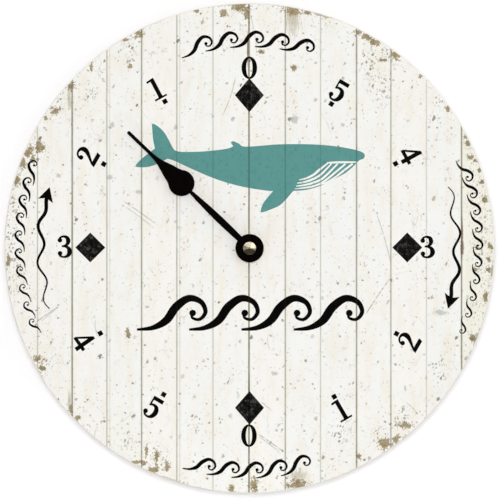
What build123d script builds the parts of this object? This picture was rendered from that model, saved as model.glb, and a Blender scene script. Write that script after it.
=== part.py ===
from build123d import *
import os
from math import asin, cos, pi, radians, sin, sqrt

os.makedirs("parts", exist_ok=True)

# A wall-hung tide clock: a round printed dial board on a moulded quartz movement whose gear
# train turns one spade hand once in about 12 hours 25 minutes.
# Lengths are in millimetres. The wall is the plane y = 0, the dial faces -Y, +Z is up,
# and the hand's axis is the Y axis. Depths below are counted from the wall towards the viewer.

# Dial
dial_diameter = 266.7
board_thickness = 6.35
board_edge_chamfer = 0.35
board_hole_radius = 4.4
sheet_thickness = 0.25
sheet_margin = 0.45

# Movement housing: its width, height and depth follow the battery, the gear train and the coil
case_corner_radius = 3.0
front_wall = 1.0
side_wall = 1.2
tray_wall = 1.0
cover_thickness = 1.2
cover_seam = 0.1
train_gap_low = 1.05
train_gap_high = 2.2
fifth_wheel_depth = 3.05
case_side_gap = 0.4
finger_notch_width = 16.0
finger_notch_depth = 6.0
cradle_place = 14.0
cradle_rib = 1.2

# Battery and its contacts
battery_diameter = 14.5
battery_length = 50.5
battery_room = 0.2
battery_sink = 0.7
nub_radius = 2.75
nub_height = 1.2
battery_edge = 0.7
contact_thickness = 0.3
contact_width = 5.0
contact_slot_side = 0.5
leaf_depth = 2.5
leaf_flat = 3.2
leaf_ramp = 3.4
contact_tab_height = 2.3
contact_tab_lap = 1.1

# Bush, washers and nut that clamp the dial
bush_radius = 4.0
bush_flange_radius = 5.5
bush_flange = 0.6
bush_lead = 0.6
hanger_thickness = 0.8
rubber_radius = 9.0
rubber_thickness = 1.0
washer_radius = 7.0
washer_thickness = 0.5
nut_across_flats = 11.0
nut_height = 2.0
bolt_hole_room = 0.1

# Hanger
hanger_width = 18.0
hanger_foot = 9.0
hanger_rise = 14.0
hanger_corner_radius = 3.0
hanger_stand_off = 0.3
hanger_wall_gap = 1.0
keyhole_radius = 3.5
keyhole_slot_radius = 1.75
keyhole_slot_length = 5.0
keyhole_drop = 8.0

# Hand, collet and cap nut
hand_length = 91.6
hand_thickness = 0.5
hand_angle = 136.3
hub_radius = 7.7
hub_rise = 0.3
bar_half_width = 0.95
stem_half_width = 1.85
stem_root_half_width = 1.2
neck_half_width = 0.95
spade_radius = 7.1
spade_place = 51.2
flare_end = 76.5
shoulder_angle = 35.0
flare_shares = [(0.25, 0.62), (0.5, 0.27)]
collet_radius = 3.0
collet_height = 0.8
collet_lift = 0.3
cap_radius = 3.7
cap_rim = 0.9
cap_height = 3.2
cap_tip_radius = 0.9
cap_tip_rise = 0.2

# Arbors and bearings
tide_arbor_radius = 1.7
tide_collar_radius = 2.4
tide_collar = 0.3
arbor_end_radius = 1.4
arbor_end_length = 2.5
centre_arbor_radius = 0.8
arbor_radius = 0.5
pivot_radius = 0.35
centre_pivot_radius = 0.5
pivot_length = 0.9
pivot_hole_depth = 1.0
shoulder_gap = 0.15
running_gap = 0.05
seat_gap = 0.02
slip_gap = 0.03
boss_radius = 1.1
cover_boss = 1.0

# Gear train: modules, wheel thickness and the depth between layers
wheel_thickness = 0.7
pinion_side = 0.5
hub_side = 0.35
tide_layer_depth = 1.35
motion_layer_depth = 2.3
centre_layer_depth = 2.2
third_layer_depth = 1.8
fourth_layer_depth = 1.8
fifth_layer_depth = 1.7
motion_module = 0.35
centre_module = 0.28
third_module = 0.25
fourth_module = 0.28
fifth_module = 0.25
tide_teeth = 69
reduction_teeth = 25
minute_teeth = 45
centre_pinion_teeth = 10
setting_teeth = 18
centre_teeth = 56
third_pinion_teeth = 7
third_teeth = 60
fourth_pinion_teeth = 8
fourth_teeth = 40
fifth_pinion_teeth = 8
fifth_teeth = 42
rotor_pinion_teeth = 7

# Directions from one arbor to the next, in degrees counter-clockwise from +X as seen from the front
reduction_direction = -10.0
setting_direction = 50.0
third_direction = 80.0
fourth_direction = 160.0
fifth_direction = 195.0
rotor_direction = 245.0

# Half widths of a tooth as shares of half the tooth pitch, its height as shares of the module
pinion_shares = {"root": 0.55, "tip": 0.30, "rise": 0.70, "fall": 1.15}
wheel_shares = {"root": 0.66, "tip": 0.26, "rise": 0.80, "fall": 1.15}
web_ring_share = 0.60
web_hole_share = 0.22
web_holes = 3

# Setting knob
knob_radius = 6.4
knob_height = 2.5
knob_recess = 0.4
knob_room = 0.5
knob_lift = 0.2
knob_ribs = 24
knob_rib_height = 0.25
knob_dish = 0.5
knob_dish_radius = 4.6
cup_wall = 0.8
cup_floor = 0.8
setting_stem_radius = 1.5
setting_end_radius = 1.0

# Clutch spring
spring_thickness = 0.3
spring_centre_radius = 1.6
spring_arm_width = 1.1
spring_reach = 4.2
spring_arms = 3
clutch_collar_radius = 1.3
clutch_collar = 0.3
centre_hub_radius = 1.6

# Motor
magnet_radius = 2.6
magnet_length = 2.4
magnet_lift = 1.15
stator_air_gap = 0.5
stator_wall = 0.8
stator_thickness = 0.8
stator_leg_width = 2.5
stator_reach = 10.1
stator_foot = 2.4
core_thickness = 0.8
core_width = 2.6
winding_radius = 3.0
winding_room = 0.3
bobbin_flange = 0.7
bobbin_flange_radius = 3.15
bobbin_wall = 0.4
bobbin_foot_gap = 0.3
stake_radius = 0.6
stake_head = 0.5
post_radius = 1.3

# Circuit board
board_half_width = 21.6
board_height = 6.8
board_side_gap = 0.4
circuit_thickness = 1.0
circuit_lead = 0.35
circuit_post_place = 11.0
crystal_radius = 1.0
crystal_length = 6.0
crystal_place = 6.0
chip_radius = 2.6
chip_height = 1.0
chip_place = -3.0
chip_edge = 0.4

# Cover screws
screw_radius = 1.0
screw_length = 5.0
screw_head_radius = 1.8
screw_head = 0.7
screw_head_room = 0.1
screw_slot_width = 0.4
screw_slot_depth = 0.3
screw_post_radius = 2.0
screw_post_side = 1.0
screw_post_sink = 0.2
screw_hole_spare = 0.5

# One overrun serves all cuts
overrun = 1.0


# Shapes are drawn as seen from the front, x to the right and z up, and stand between two depths
def slab(face, near, far):
    return extrude(Plane.XZ.offset(near) * face, amount=far - near)


def disc(radius, near, far, place=(0, 0)):
    return slab(Pos(*place) * Circle(radius), near, far)


def ring(outer, inner, near, far, place=(0, 0)):
    return slab(Pos(*place) * (Circle(outer) - Circle(inner)), near, far)


def block(left, right, low, high, near, far):
    middle = ((left + right) / 2, (low + high) / 2)
    return slab(Pos(*middle) * Rectangle(right - left, high - low), near, far)


def step_from(place, direction, distance):
    turn = radians(direction)
    return (place[0] + distance * cos(turn), place[1] + distance * sin(turn))


def save(name, shape):
    export_step(shape, f"parts/{name}.step")


# Toothed outlines
def gear_face(teeth, module, phase, shares):
    pitch_radius = teeth * module / 2
    root_radius = pitch_radius - shares["fall"] * module
    tip_radius = pitch_radius + shares["rise"] * module
    half_pitch = pi / teeth
    corners = []
    for tooth in range(teeth):
        middle = radians(phase) + 2 * tooth * half_pitch
        for radius, share in (
            (root_radius, -shares["root"]),
            (tip_radius, -shares["tip"]),
            (tip_radius, shares["tip"]),
            (root_radius, shares["root"]),
        ):
            turn = middle + share * half_pitch
            corners.append((radius * cos(turn), radius * sin(turn)))
    return make_face(Polyline(*corners, close=True))


# The phase that puts a gear in mesh with its neighbour, in degrees
def meshed(neighbour_phase, neighbour_teeth, direction, teeth):
    half_pitch = 180 / teeth
    lead = (direction - neighbour_phase) * neighbour_teeth / teeth
    return direction + 180 + half_pitch + lead


def spread(module, first_teeth, second_teeth):
    return module * (first_teeth + second_teeth) / 2


# A wheel's toothed web, which the larger wheels have with round holes
def wheel(teeth, module, phase, level, place, holes=0):
    face = gear_face(teeth, module, phase, wheel_shares)
    if holes:
        pitch_radius = teeth * module / 2
        around = PolarLocations(web_ring_share * pitch_radius, holes)
        face -= around * Circle(web_hole_share * pitch_radius)
    return slab(Pos(*place) * face, level - wheel_thickness / 2, level + wheel_thickness / 2)


def pinion(teeth, module, phase, level, place):
    face = gear_face(teeth, module, phase, pinion_shares)
    half = wheel_thickness / 2 + pinion_side
    return slab(Pos(*place) * face, level - half, level + half)


def tip_radius(teeth, module):
    return teeth * module / 2 + wheel_shares["rise"] * module


# The case is as deep as the battery or the gear layers need
motion_layers = tide_layer_depth + motion_layer_depth + centre_layer_depth
going_layers = third_layer_depth + fourth_layer_depth + fifth_layer_depth
layers_floor = cover_thickness + fifth_wheel_depth + going_layers + motion_layers
case_floor = max(battery_sink + battery_diameter + battery_room, layers_floor)
case_depth = case_floor + front_wall
battery_depth = case_floor - battery_room - battery_diameter / 2

# Depths of the gear layers
tide_level = case_floor - tide_layer_depth
motion_level = tide_level - motion_layer_depth
centre_level = motion_level - centre_layer_depth
third_level = centre_level - third_layer_depth
fourth_level = third_level - fourth_layer_depth
fifth_level = fourth_level - fifth_layer_depth
half_wheel = wheel_thickness / 2
half_pinion = half_wheel + pinion_side

# Arbor places
centre_place = (0, 0)
reduction_spread = spread(motion_module, centre_pinion_teeth, minute_teeth)
tide_module = 2 * reduction_spread / (tide_teeth + reduction_teeth)
reduction_place = step_from(centre_place, reduction_direction, reduction_spread)
setting_place = step_from(
    reduction_place, setting_direction, spread(motion_module, minute_teeth, setting_teeth)
)
third_place = step_from(
    centre_place, third_direction, spread(centre_module, centre_teeth, third_pinion_teeth)
)
fourth_place = step_from(
    third_place, fourth_direction, spread(third_module, third_teeth, fourth_pinion_teeth)
)
fifth_place = step_from(
    fourth_place, fifth_direction, spread(fourth_module, fourth_teeth, fifth_pinion_teeth)
)
rotor_place = step_from(
    fifth_place, rotor_direction, spread(fifth_module, fifth_teeth, rotor_pinion_teeth)
)

# Motor places in plan
stator_hole = magnet_radius + stator_air_gap
stator_half = stator_hole + stator_wall
stator_low = rotor_place[1] - stator_reach
stator_high = rotor_place[1] + stator_reach
coil_place = rotor_place[0] - stator_half - winding_room - bobbin_flange_radius
cup_inside = knob_radius + knob_rib_height + knob_room
cup_outside = cup_inside + cup_wall

# The case is as wide and as high as the battery, the train, the coil and the board need
battery_half = battery_length / 2 + contact_thickness + leaf_depth / 2
coil_half = bobbin_flange_radius - coil_place + case_side_gap + contact_thickness
cup_half = setting_place[0] + cup_outside + case_side_gap
inner_half = max(battery_half, coil_half, cup_half)
train_low = min(
    -tip_radius(centre_teeth, centre_module),
    reduction_place[1] - tip_radius(minute_teeth, motion_module),
    stator_low - 2 * screw_post_radius,
)
train_high = max(
    third_place[1] + tip_radius(third_teeth, third_module),
    fourth_place[1] + tip_radius(fourth_teeth, fourth_module),
    fifth_place[1] + tip_radius(fifth_teeth, fifth_module),
    setting_place[1] + cup_outside,
    stator_high,
)
room_bottom = train_low - train_gap_low
room_top = train_high + train_gap_high + board_height + board_side_gap
tray_top = room_bottom - tray_wall
tray_bottom = tray_top - battery_diameter - 2 * battery_room
battery_height = (tray_top + tray_bottom) / 2
case_half = inner_half + side_wall
case_top = room_top + side_wall
case_bottom = tray_bottom - side_wall

# Depths of the clamped stack in front of the case
hanger_front = case_depth + hanger_thickness
rubber_front = hanger_front + rubber_thickness
board_front = rubber_front + board_thickness
sheet_front = board_front + sheet_thickness
washer_front = sheet_front + washer_thickness
nut_front = washer_front + nut_height
bush_front = nut_front + bush_lead
collet_back = bush_front + collet_lift
hand_back = collet_back + collet_height
hand_front = hand_back + hand_thickness
hub_front = hand_front + hub_rise
arbor_front = hub_front + arbor_end_length
cap_front = hub_front + cap_height

# Motor depths
magnet_back = fourth_level + magnet_lift
magnet_front = magnet_back + magnet_length
stator_back = (magnet_back + magnet_front - stator_thickness) / 2
stator_front = stator_back + stator_thickness
core_front = stator_front + core_thickness
coil_depth = stator_front + core_thickness / 2
stake_places = [
    (coil_place, stator_low + stator_foot / 2),
    (coil_place, stator_high - stator_foot / 2),
]

# Circuit board places
circuit_depth = battery_depth - circuit_lead
circuit_front = circuit_depth + circuit_thickness
circuit_high = room_top - board_side_gap
circuit_low = circuit_high - board_height
circuit_middle = (circuit_low + circuit_high) / 2
circuit_posts = [(-circuit_post_place, circuit_middle), (circuit_post_place, circuit_middle)]

# Screw places: two in the upper corners, two above the battery tray
screw_side = inner_half - screw_post_side - screw_post_radius
screw_places = [
    (-screw_side, room_top + screw_post_sink - screw_post_radius),
    (screw_side, room_top + screw_post_sink - screw_post_radius),
    (-screw_side, room_bottom - screw_post_sink + screw_post_radius),
    (screw_side, room_bottom - screw_post_sink + screw_post_radius),
]

# Bearings: each arbor's place, the depth of its front bearing, and its pivot's radius
reduction_front = tide_level + half_wheel + pinion_side
third_front = centre_level + half_pinion + hub_side
fourth_front = third_level + half_pinion + hub_side
fifth_front = fourth_level + half_pinion + hub_side
rotor_front = magnet_front + hub_side
setting_front = motion_level + half_pinion + hub_side
front_bearings = [
    (reduction_place, reduction_front, pivot_radius),
    (third_place, third_front, pivot_radius),
    (fourth_place, fourth_front, pivot_radius),
    (fifth_place, fifth_front, pivot_radius),
    (rotor_place, rotor_front, pivot_radius),
    (setting_place, setting_front, setting_end_radius),
]
cover_bearing = cover_thickness + cover_boss
back_bearings = [
    (centre_place, centre_pivot_radius),
    (reduction_place, pivot_radius),
    (third_place, pivot_radius),
    (fourth_place, pivot_radius),
    (fifth_place, pivot_radius),
    (rotor_place, pivot_radius),
]


# An arbor between its two bearings, with a pivot at each end
def arbor(place, radius, pivot, front):
    near = cover_bearing + shoulder_gap
    far = front - shoulder_gap
    body = disc(radius, near, far, place)
    body += disc(pivot, near - pivot_length, near, place)
    body += disc(pivot, far, far + pivot_length, place)
    return body


# Dial board and its printed sheet
def make_dial_board():
    body = ring(dial_diameter / 2, board_hole_radius, rubber_front, board_front)
    rim = [edge for edge in body.edges().filter_by(GeomType.CIRCLE) if edge.radius > dial_diameter / 4]
    return chamfer(rim, board_edge_chamfer)


def make_dial_sheet():
    return ring(dial_diameter / 2 - sheet_margin, board_hole_radius, board_front, sheet_front)


# Housing: a tray open at the back, with a wall between the gear room and the battery
def case_outline(inset):
    wide = 2 * (case_half - inset)
    high = case_top - case_bottom - 2 * inset
    return Pos(0, (case_top + case_bottom) / 2) * RectangleRounded(wide, high, case_corner_radius - inset)


def band(low, high):
    return Pos(0, (low + high) / 2) * Rectangle(2 * case_half + overrun, high - low)


# A rib across the tray floor with a round seat for the battery
def make_cradle_rib(middle):
    left = middle - cradle_rib / 2
    right = middle + cradle_rib / 2
    rib = block(left, right, tray_bottom, tray_top, battery_depth, case_floor)
    seat = Cylinder(battery_diameter / 2 + battery_room, 2 * cradle_rib)
    return rib - Pos(middle, -battery_depth, battery_height) * Rot(0, 90, 0) * seat


def make_movement_case():
    body = slab(case_outline(0), 0, case_depth)
    inside = case_outline(side_wall)
    body -= slab(inside & band(room_bottom, case_top), -overrun, case_floor)
    body -= slab(inside & band(case_bottom, tray_top), -overrun, case_floor)
    body -= slab(band(tray_top, case_top + overrun), -overrun, cover_thickness)
    notch = RectangleRounded(finger_notch_width, 2 * finger_notch_depth, case_corner_radius)
    body -= extrude(Plane.XY.offset(case_bottom - overrun) * notch, amount=side_wall + 2 * overrun)
    body -= disc(bush_radius + running_gap, case_floor - overrun, case_depth + overrun)
    slot_near = battery_depth - contact_width / 2 - contact_slot_side
    slot_far = battery_depth + contact_width / 2 + contact_slot_side
    slot_wide = contact_thickness + contact_slot_side
    for left, right in ((-inner_half, slot_wide - inner_half), (inner_half - slot_wide, inner_half)):
        body -= block(left, right, tray_top - overrun, room_bottom + overrun, slot_near, slot_far)
    for middle in (-cradle_place, cradle_place):
        body += make_cradle_rib(middle)
    for place, depth, pivot in front_bearings:
        width = max(boss_radius, pivot + boss_radius / 2)
        body += disc(width, depth, case_floor, place)
        body -= disc(pivot + running_gap, depth, depth + pivot_hole_depth, place)
    for place in stake_places:
        body += disc(post_radius, core_front, case_floor, place)
        body += disc(stake_radius, stator_back - stake_head, core_front, place)
    for place in circuit_posts:
        body += disc(post_radius, circuit_front, case_floor, place)
        body += disc(stake_radius, circuit_depth - stake_head, circuit_front, place)
    for place in screw_places:
        body += disc(screw_post_radius, cover_thickness, case_floor, place)
        depth = screw_length + screw_hole_spare
        body -= disc(screw_radius + running_gap, cover_thickness - overrun, depth, place)
    return body


# Cover with a recessed cup for the setting knob, bearings and screw seats
def make_back_cover():
    outline = case_outline(0) & band(tray_top + cover_seam, case_top)
    body = slab(outline, 0, cover_thickness)
    for place, pivot in back_bearings:
        body += disc(pivot + boss_radius / 2 + hub_side, 0, cover_bearing, place)
        body -= disc(pivot + running_gap, cover_bearing - pivot_hole_depth, cover_bearing, place)
    cup_bottom = knob_recess + knob_height + knob_lift
    body += disc(cup_outside, 0, cup_bottom + cup_floor, setting_place)
    body -= disc(cup_inside, -overrun, cup_bottom, setting_place)
    body -= disc(setting_stem_radius + running_gap, 0, case_depth, setting_place)
    for place in screw_places:
        body -= disc(screw_radius + running_gap, -overrun, case_depth, place)
        seat = screw_head + screw_head_room
        body -= disc(screw_head_radius + screw_head_room, -overrun, seat, place)
    return body


def make_cover_screws():
    screws = []
    for place in screw_places:
        head_back = screw_head_room
        seat = screw_head + screw_head_room
        screw = disc(screw_head_radius, head_back, seat, place)
        screw += disc(screw_radius, seat, screw_length, place)
        slot = Pos(*place) * Rectangle(3 * screw_head_radius, screw_slot_width)
        screw -= slab(slot, 0, head_back + screw_slot_depth)
        screws.append(screw)
    return Compound(screws)


# Threaded bush and the stack that it clamps
def make_bush():
    body = ring(bush_radius, tide_arbor_radius + running_gap, case_floor - bush_flange, bush_front)
    return body + ring(bush_flange_radius, tide_arbor_radius + running_gap, case_floor - bush_flange, case_floor)


def make_hanger():
    back = hanger_wall_gap
    shelf = case_top + hanger_stand_off
    top = shelf + hanger_rise
    half = hanger_width / 2
    body = block(-half, half, -hanger_foot, shelf + hanger_thickness, case_depth, hanger_front)
    body += block(-half, half, shelf, shelf + hanger_thickness, back, hanger_front)
    tab = Pos(0, (shelf + top) / 2) * RectangleRounded(hanger_width, top - shelf, hanger_corner_radius)
    tab += Pos(0, shelf + hanger_corner_radius / 2) * Rectangle(hanger_width, hanger_corner_radius)
    keyhole = Pos(0, top - keyhole_drop) * Circle(keyhole_radius)
    slot_top = top - keyhole_drop + keyhole_slot_length - keyhole_slot_radius
    keyhole += Pos(0, slot_top) * Circle(keyhole_slot_radius)
    slot_height = slot_top - (top - keyhole_drop)
    keyhole += Pos(0, slot_top - slot_height / 2) * Rectangle(2 * keyhole_slot_radius, slot_height)
    body += slab(tab, back, back + hanger_thickness)
    body -= slab(keyhole, -overrun, back + hanger_thickness + overrun)
    return body - disc(bush_radius + bolt_hole_room, case_depth - overrun, hanger_front + overrun)


def make_rubber_washer():
    return ring(rubber_radius, bush_radius + bolt_hole_room, hanger_front, rubber_front)


def make_brass_washer():
    return ring(washer_radius, bush_radius + bolt_hole_room, sheet_front, washer_front)


def make_hex_nut():
    nut_face = RegularPolygon(nut_across_flats / 2, 6, major_radius=False)
    return slab(nut_face - Circle(bush_radius + running_gap), washer_front, nut_front)


# Spade hand, drawn along +X and then turned to its angle
def make_hand():
    stem_middle = (hub_radius + spade_place - spade_radius) / 2
    neck = spade_place - sqrt(spade_radius**2 - neck_half_width**2)
    side = Spline((0, stem_root_half_width), (stem_middle, stem_half_width), (neck, neck_half_width))
    stem = make_face([
        side,
        Line((neck, neck_half_width), (neck, -neck_half_width)),
        mirror(side, about=Plane.XZ),
        Line((0, -stem_root_half_width), (0, stem_root_half_width)),
    ])
    shoulder_turn = radians(shoulder_angle)
    shoulder = (spade_place + spade_radius * sin(shoulder_turn), spade_radius * cos(shoulder_turn))
    run = flare_end - shoulder[0]
    fall = shoulder[1] - bar_half_width
    between = [(shoulder[0] + run * along, bar_half_width + fall * out) for along, out in flare_shares]
    flare = Spline(
        shoulder,
        *between,
        (flare_end, bar_half_width),
        tangents=[(cos(shoulder_turn), -sin(shoulder_turn)), (1, 0)],
    )
    spade = make_face([
        flare,
        Line((flare_end, bar_half_width), (flare_end, -bar_half_width)),
        mirror(flare, about=Plane.XZ),
        Line((shoulder[0], -shoulder[1]), shoulder),
    ])
    bar_length = hand_length - spade_place - bar_half_width
    bar = Pos(spade_place + bar_length / 2, 0) * Rectangle(bar_length, 2 * bar_half_width)
    tip = Pos(hand_length - bar_half_width, 0) * Circle(bar_half_width)
    blade = stem + Pos(spade_place, 0) * Circle(spade_radius) + spade + bar + tip
    blade = Rot(0, 0, hand_angle) * blade
    hole = arbor_end_radius + seat_gap
    body = slab(blade, hand_back, hand_front) + disc(hub_radius, hand_back, hub_front)
    return body - disc(hole, hand_back - overrun, hub_front + overrun)


def make_hand_collet():
    return ring(collet_radius, tide_arbor_radius + seat_gap, collet_back, hand_back)


# Cap nut: a low rim, then a cone with a rounded tip, and a blind hole
def make_cap_nut():
    rim = hub_front + cap_rim
    side = Line((0, hub_front), (cap_radius, hub_front))
    wall = Line((cap_radius, hub_front), (cap_radius, rim))
    tip_edge = (cap_tip_radius, cap_front - cap_tip_rise)
    flank = Line((cap_radius, rim), tip_edge)
    tip_curve = (cap_tip_radius**2 + cap_tip_rise**2) / (2 * cap_tip_rise)
    half_turn = asin(cap_tip_radius / tip_curve) / 2
    tip_middle = (tip_curve * sin(half_turn), cap_front - tip_curve * (1 - cos(half_turn)))
    tip = ThreePointArc(tip_edge, tip_middle, (0, cap_front))
    half = make_face([side, wall, flank, tip, Line((0, cap_front), (0, hub_front))])
    # the half outline holds radius and depth, and turns about the hand's axis
    standing = Plane(origin=(0, 0, 0), x_dir=(1, 0, 0), z_dir=(0, 0, -1)) * half
    body = revolve(standing, axis=Axis.Y)
    return body - disc(arbor_end_radius + seat_gap, hub_front - overrun, arbor_front + running_gap)


# Motion work: tide arbor and wheel, reduction wheel, centre pinion and setting gear
def make_tide_arbor():
    hub_back = tide_level - half_wheel - 2 * hub_side
    collar_back = tide_level + half_wheel
    body = disc(tide_arbor_radius, hub_back, hand_back)
    body += disc(tide_collar_radius, collar_back, collar_back + tide_collar)
    body += disc(arbor_end_radius, hand_back, arbor_front)
    socket = centre_pivot_radius + running_gap
    return body - disc(socket, hub_back - overrun, hub_back + pivot_hole_depth)


def make_tide_wheel():
    body = wheel(tide_teeth, tide_module, 0, tide_level, centre_place, web_holes)
    body += disc(tide_collar_radius, tide_level - half_wheel - hub_side, tide_level)
    return body - disc(tide_arbor_radius + seat_gap, 0, case_depth)


reduction_phase = meshed(0, tide_teeth, reduction_direction, reduction_teeth)


def make_reduction_wheel():
    body = wheel(minute_teeth, motion_module, 0, motion_level, reduction_place)
    body += pinion(reduction_teeth, tide_module, reduction_phase, tide_level, reduction_place)
    body += disc(tide_arbor_radius, motion_level, tide_level, reduction_place)
    return body + arbor(reduction_place, arbor_radius, pivot_radius, reduction_front)


def make_centre_pinion():
    phase = meshed(0, minute_teeth, reduction_direction + 180, centre_pinion_teeth)
    body = pinion(centre_pinion_teeth, motion_module, phase, motion_level, centre_place)
    near = cover_bearing + shoulder_gap
    far = tide_level - half_wheel - 2 * hub_side - shoulder_gap
    collar_front = centre_level - half_wheel - hub_side - slip_gap
    body += disc(centre_arbor_radius, near, far)
    body += disc(centre_pivot_radius, near - pivot_length, near)
    body += disc(centre_pivot_radius, far, far + pivot_length)
    return body + disc(clutch_collar_radius, collar_front - clutch_collar, collar_front)


def make_setting_pinion():
    phase = meshed(0, minute_teeth, setting_direction, setting_teeth)
    body = pinion(setting_teeth, motion_module, phase, motion_level, setting_place)
    return body - disc(setting_end_radius + seat_gap, 0, case_depth, setting_place)


def make_setting_knob():
    knob_front = knob_recess + knob_height
    corners = []
    for number in range(2 * knob_ribs):
        reach = knob_radius + knob_rib_height * (number % 2)
        corners.append(step_from(centre_place, number * 180 / knob_ribs, reach))
    face = make_face(Polyline(*corners, close=True))
    body = slab(Pos(*setting_place) * face, knob_recess, knob_front)
    body -= disc(knob_dish_radius, 0, knob_recess + knob_dish, setting_place)
    shoulder = motion_level - half_pinion
    body += disc(setting_stem_radius, knob_front, shoulder, setting_place)
    return body + disc(setting_end_radius, shoulder, setting_front + pivot_length, setting_place)


# Friction clutch: the centre wheel slips on its arbor under a three-armed spring
def make_centre_wheel():
    body = wheel(centre_teeth, centre_module, 0, centre_level, centre_place, web_holes)
    body += disc(centre_hub_radius, centre_level - half_wheel - hub_side, centre_level)
    return body - disc(centre_arbor_radius + running_gap, 0, case_depth)


def make_clutch_spring():
    face = Circle(spring_centre_radius)
    arm = Pos(spring_reach / 2, 0) * Rectangle(spring_reach, spring_arm_width)
    for number in range(spring_arms):
        face += Rot(0, 0, number * 360 / spring_arms) * arm
        tip = step_from(centre_place, number * 360 / spring_arms, spring_reach)
        face += Pos(*tip) * Circle(spring_arm_width / 2)
    face -= Circle(centre_arbor_radius + seat_gap)
    near = centre_level + half_wheel + slip_gap
    return slab(face, near, near + spring_thickness)


# Going train: third, fourth and fifth wheels with their pinions
def make_third_wheel():
    phase = meshed(0, centre_teeth, third_direction, third_pinion_teeth)
    body = wheel(third_teeth, third_module, 0, third_level, third_place, web_holes)
    body += pinion(third_pinion_teeth, centre_module, phase, centre_level, third_place)
    return body + arbor(third_place, arbor_radius, pivot_radius, third_front)


def make_fourth_wheel():
    phase = meshed(0, third_teeth, fourth_direction, fourth_pinion_teeth)
    body = wheel(fourth_teeth, fourth_module, 0, fourth_level, fourth_place)
    body += pinion(fourth_pinion_teeth, third_module, phase, third_level, fourth_place)
    return body + arbor(fourth_place, arbor_radius, pivot_radius, fourth_front)


def make_fifth_wheel():
    phase = meshed(0, fourth_teeth, fifth_direction, fifth_pinion_teeth)
    body = wheel(fifth_teeth, fifth_module, 0, fifth_level, fifth_place)
    body += pinion(fifth_pinion_teeth, fourth_module, phase, fourth_level, fifth_place)
    return body + arbor(fifth_place, arbor_radius, pivot_radius, fifth_front)


# Motor: rotor, stator plate, coil core, bobbin and winding
def make_rotor_pinion():
    phase = meshed(0, fifth_teeth, rotor_direction, rotor_pinion_teeth)
    body = pinion(rotor_pinion_teeth, fifth_module, phase, fifth_level, rotor_place)
    body += disc(boss_radius, magnet_back - hub_side, magnet_back, rotor_place)
    return body + arbor(rotor_place, arbor_radius, pivot_radius, rotor_front)


def make_rotor_magnet():
    return ring(magnet_radius, arbor_radius + seat_gap, magnet_back, magnet_front, rotor_place)


def stator_feet(left, right):
    low = (stator_low, stator_low + stator_foot)
    high = (stator_high - stator_foot, stator_high)
    faces = []
    for bottom, top in (low, high):
        middle = ((left + right) / 2, (bottom + top) / 2)
        faces.append(Pos(*middle) * Rectangle(right - left, top - bottom))
    return faces


def make_stator():
    leg_right = rotor_place[0] - stator_half + stator_leg_width
    face = Pos(*rotor_place) * Rectangle(2 * stator_half, 2 * stator_half)
    leg_left = leg_right - stator_leg_width
    leg_middle = ((leg_left + leg_right) / 2, rotor_place[1])
    face += Pos(*leg_middle) * Rectangle(stator_leg_width, 2 * stator_reach)
    for foot in stator_feet(coil_place - core_width / 2, leg_right):
        face += foot
    face -= Pos(*rotor_place) * Circle(stator_hole)
    for place in stake_places:
        face -= Pos(*place) * Circle(stake_radius + running_gap)
    return slab(face, stator_back, stator_front)


def make_coil_core():
    middle = (coil_place, rotor_place[1])
    face = Pos(*middle) * Rectangle(core_width, 2 * stator_reach)
    for place in stake_places:
        face -= Pos(*place) * Circle(stake_radius + running_gap)
    return slab(face, stator_front, core_front)


# The bobbin and winding lie along z around the core
def coil_cylinder(radius, low, high):
    return Pos(coil_place, -coil_depth, (low + high) / 2) * Cylinder(radius, high - low)


def make_coil_bobbin():
    low = stator_low + stator_foot + bobbin_foot_gap
    high = stator_high - stator_foot - bobbin_foot_gap
    tube = sqrt(core_width**2 + core_thickness**2) / 2 + bobbin_wall
    body = coil_cylinder(tube, low, high)
    body += coil_cylinder(bobbin_flange_radius, low, low + bobbin_flange)
    body += coil_cylinder(bobbin_flange_radius, high - bobbin_flange, high)
    half = core_width / 2 + seat_gap
    near = stator_front - seat_gap
    far = core_front + seat_gap
    return body - block(coil_place - half, coil_place + half, low - overrun, high + overrun, near, far)


def make_coil_winding():
    low = stator_low + stator_foot + bobbin_foot_gap + bobbin_flange
    high = stator_high - stator_foot - bobbin_foot_gap - bobbin_flange
    tube = sqrt(core_width**2 + core_thickness**2) / 2 + bobbin_wall
    return coil_cylinder(winding_radius, low, high) - coil_cylinder(tube, low - overrun, high + overrun)


# Circuit board with its crystal and chip
def make_circuit_board():
    face = Pos(0, circuit_middle) * Rectangle(2 * board_half_width, board_height)
    for place in circuit_posts:
        face -= Pos(*place) * Circle(stake_radius + running_gap)
    for place in screw_places:
        face -= Pos(*place) * Circle(screw_post_radius + board_side_gap)
    return slab(face, circuit_depth, circuit_front)


def make_quartz_crystal():
    body = Cylinder(crystal_radius, crystal_length)
    depth = circuit_depth - crystal_radius
    return Pos(crystal_place - crystal_length / 2, -depth, circuit_middle) * Rot(0, 90, 0) * body


def make_chip_cover():
    body = disc(chip_radius, circuit_depth - chip_height, circuit_depth, (chip_place, circuit_middle))
    return chamfer(body.edges().sort_by(Axis.Y)[-1], chip_edge)


# Battery: its nub points to the left
def make_battery():
    left = contact_thickness - inner_half
    body_left = left + nub_height
    right = left + battery_length
    turn = Rot(0, 90, 0)
    middle = Pos((body_left + right) / 2, -battery_depth, battery_height)
    can = middle * turn * Cylinder(battery_diameter / 2, right - body_left)
    can = chamfer(can.edges().filter_by(GeomType.CIRCLE), battery_edge)
    nub = Pos((left + body_left) / 2, -battery_depth, battery_height)
    return can + nub * turn * Cylinder(nub_radius, nub_height)


# Contacts: strips up the side walls, each with a tab on the circuit board
def contact_tab(left, right):
    high = circuit_low + contact_tab_height
    return block(left, right, circuit_low, high, circuit_depth - contact_thickness, circuit_depth)


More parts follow.
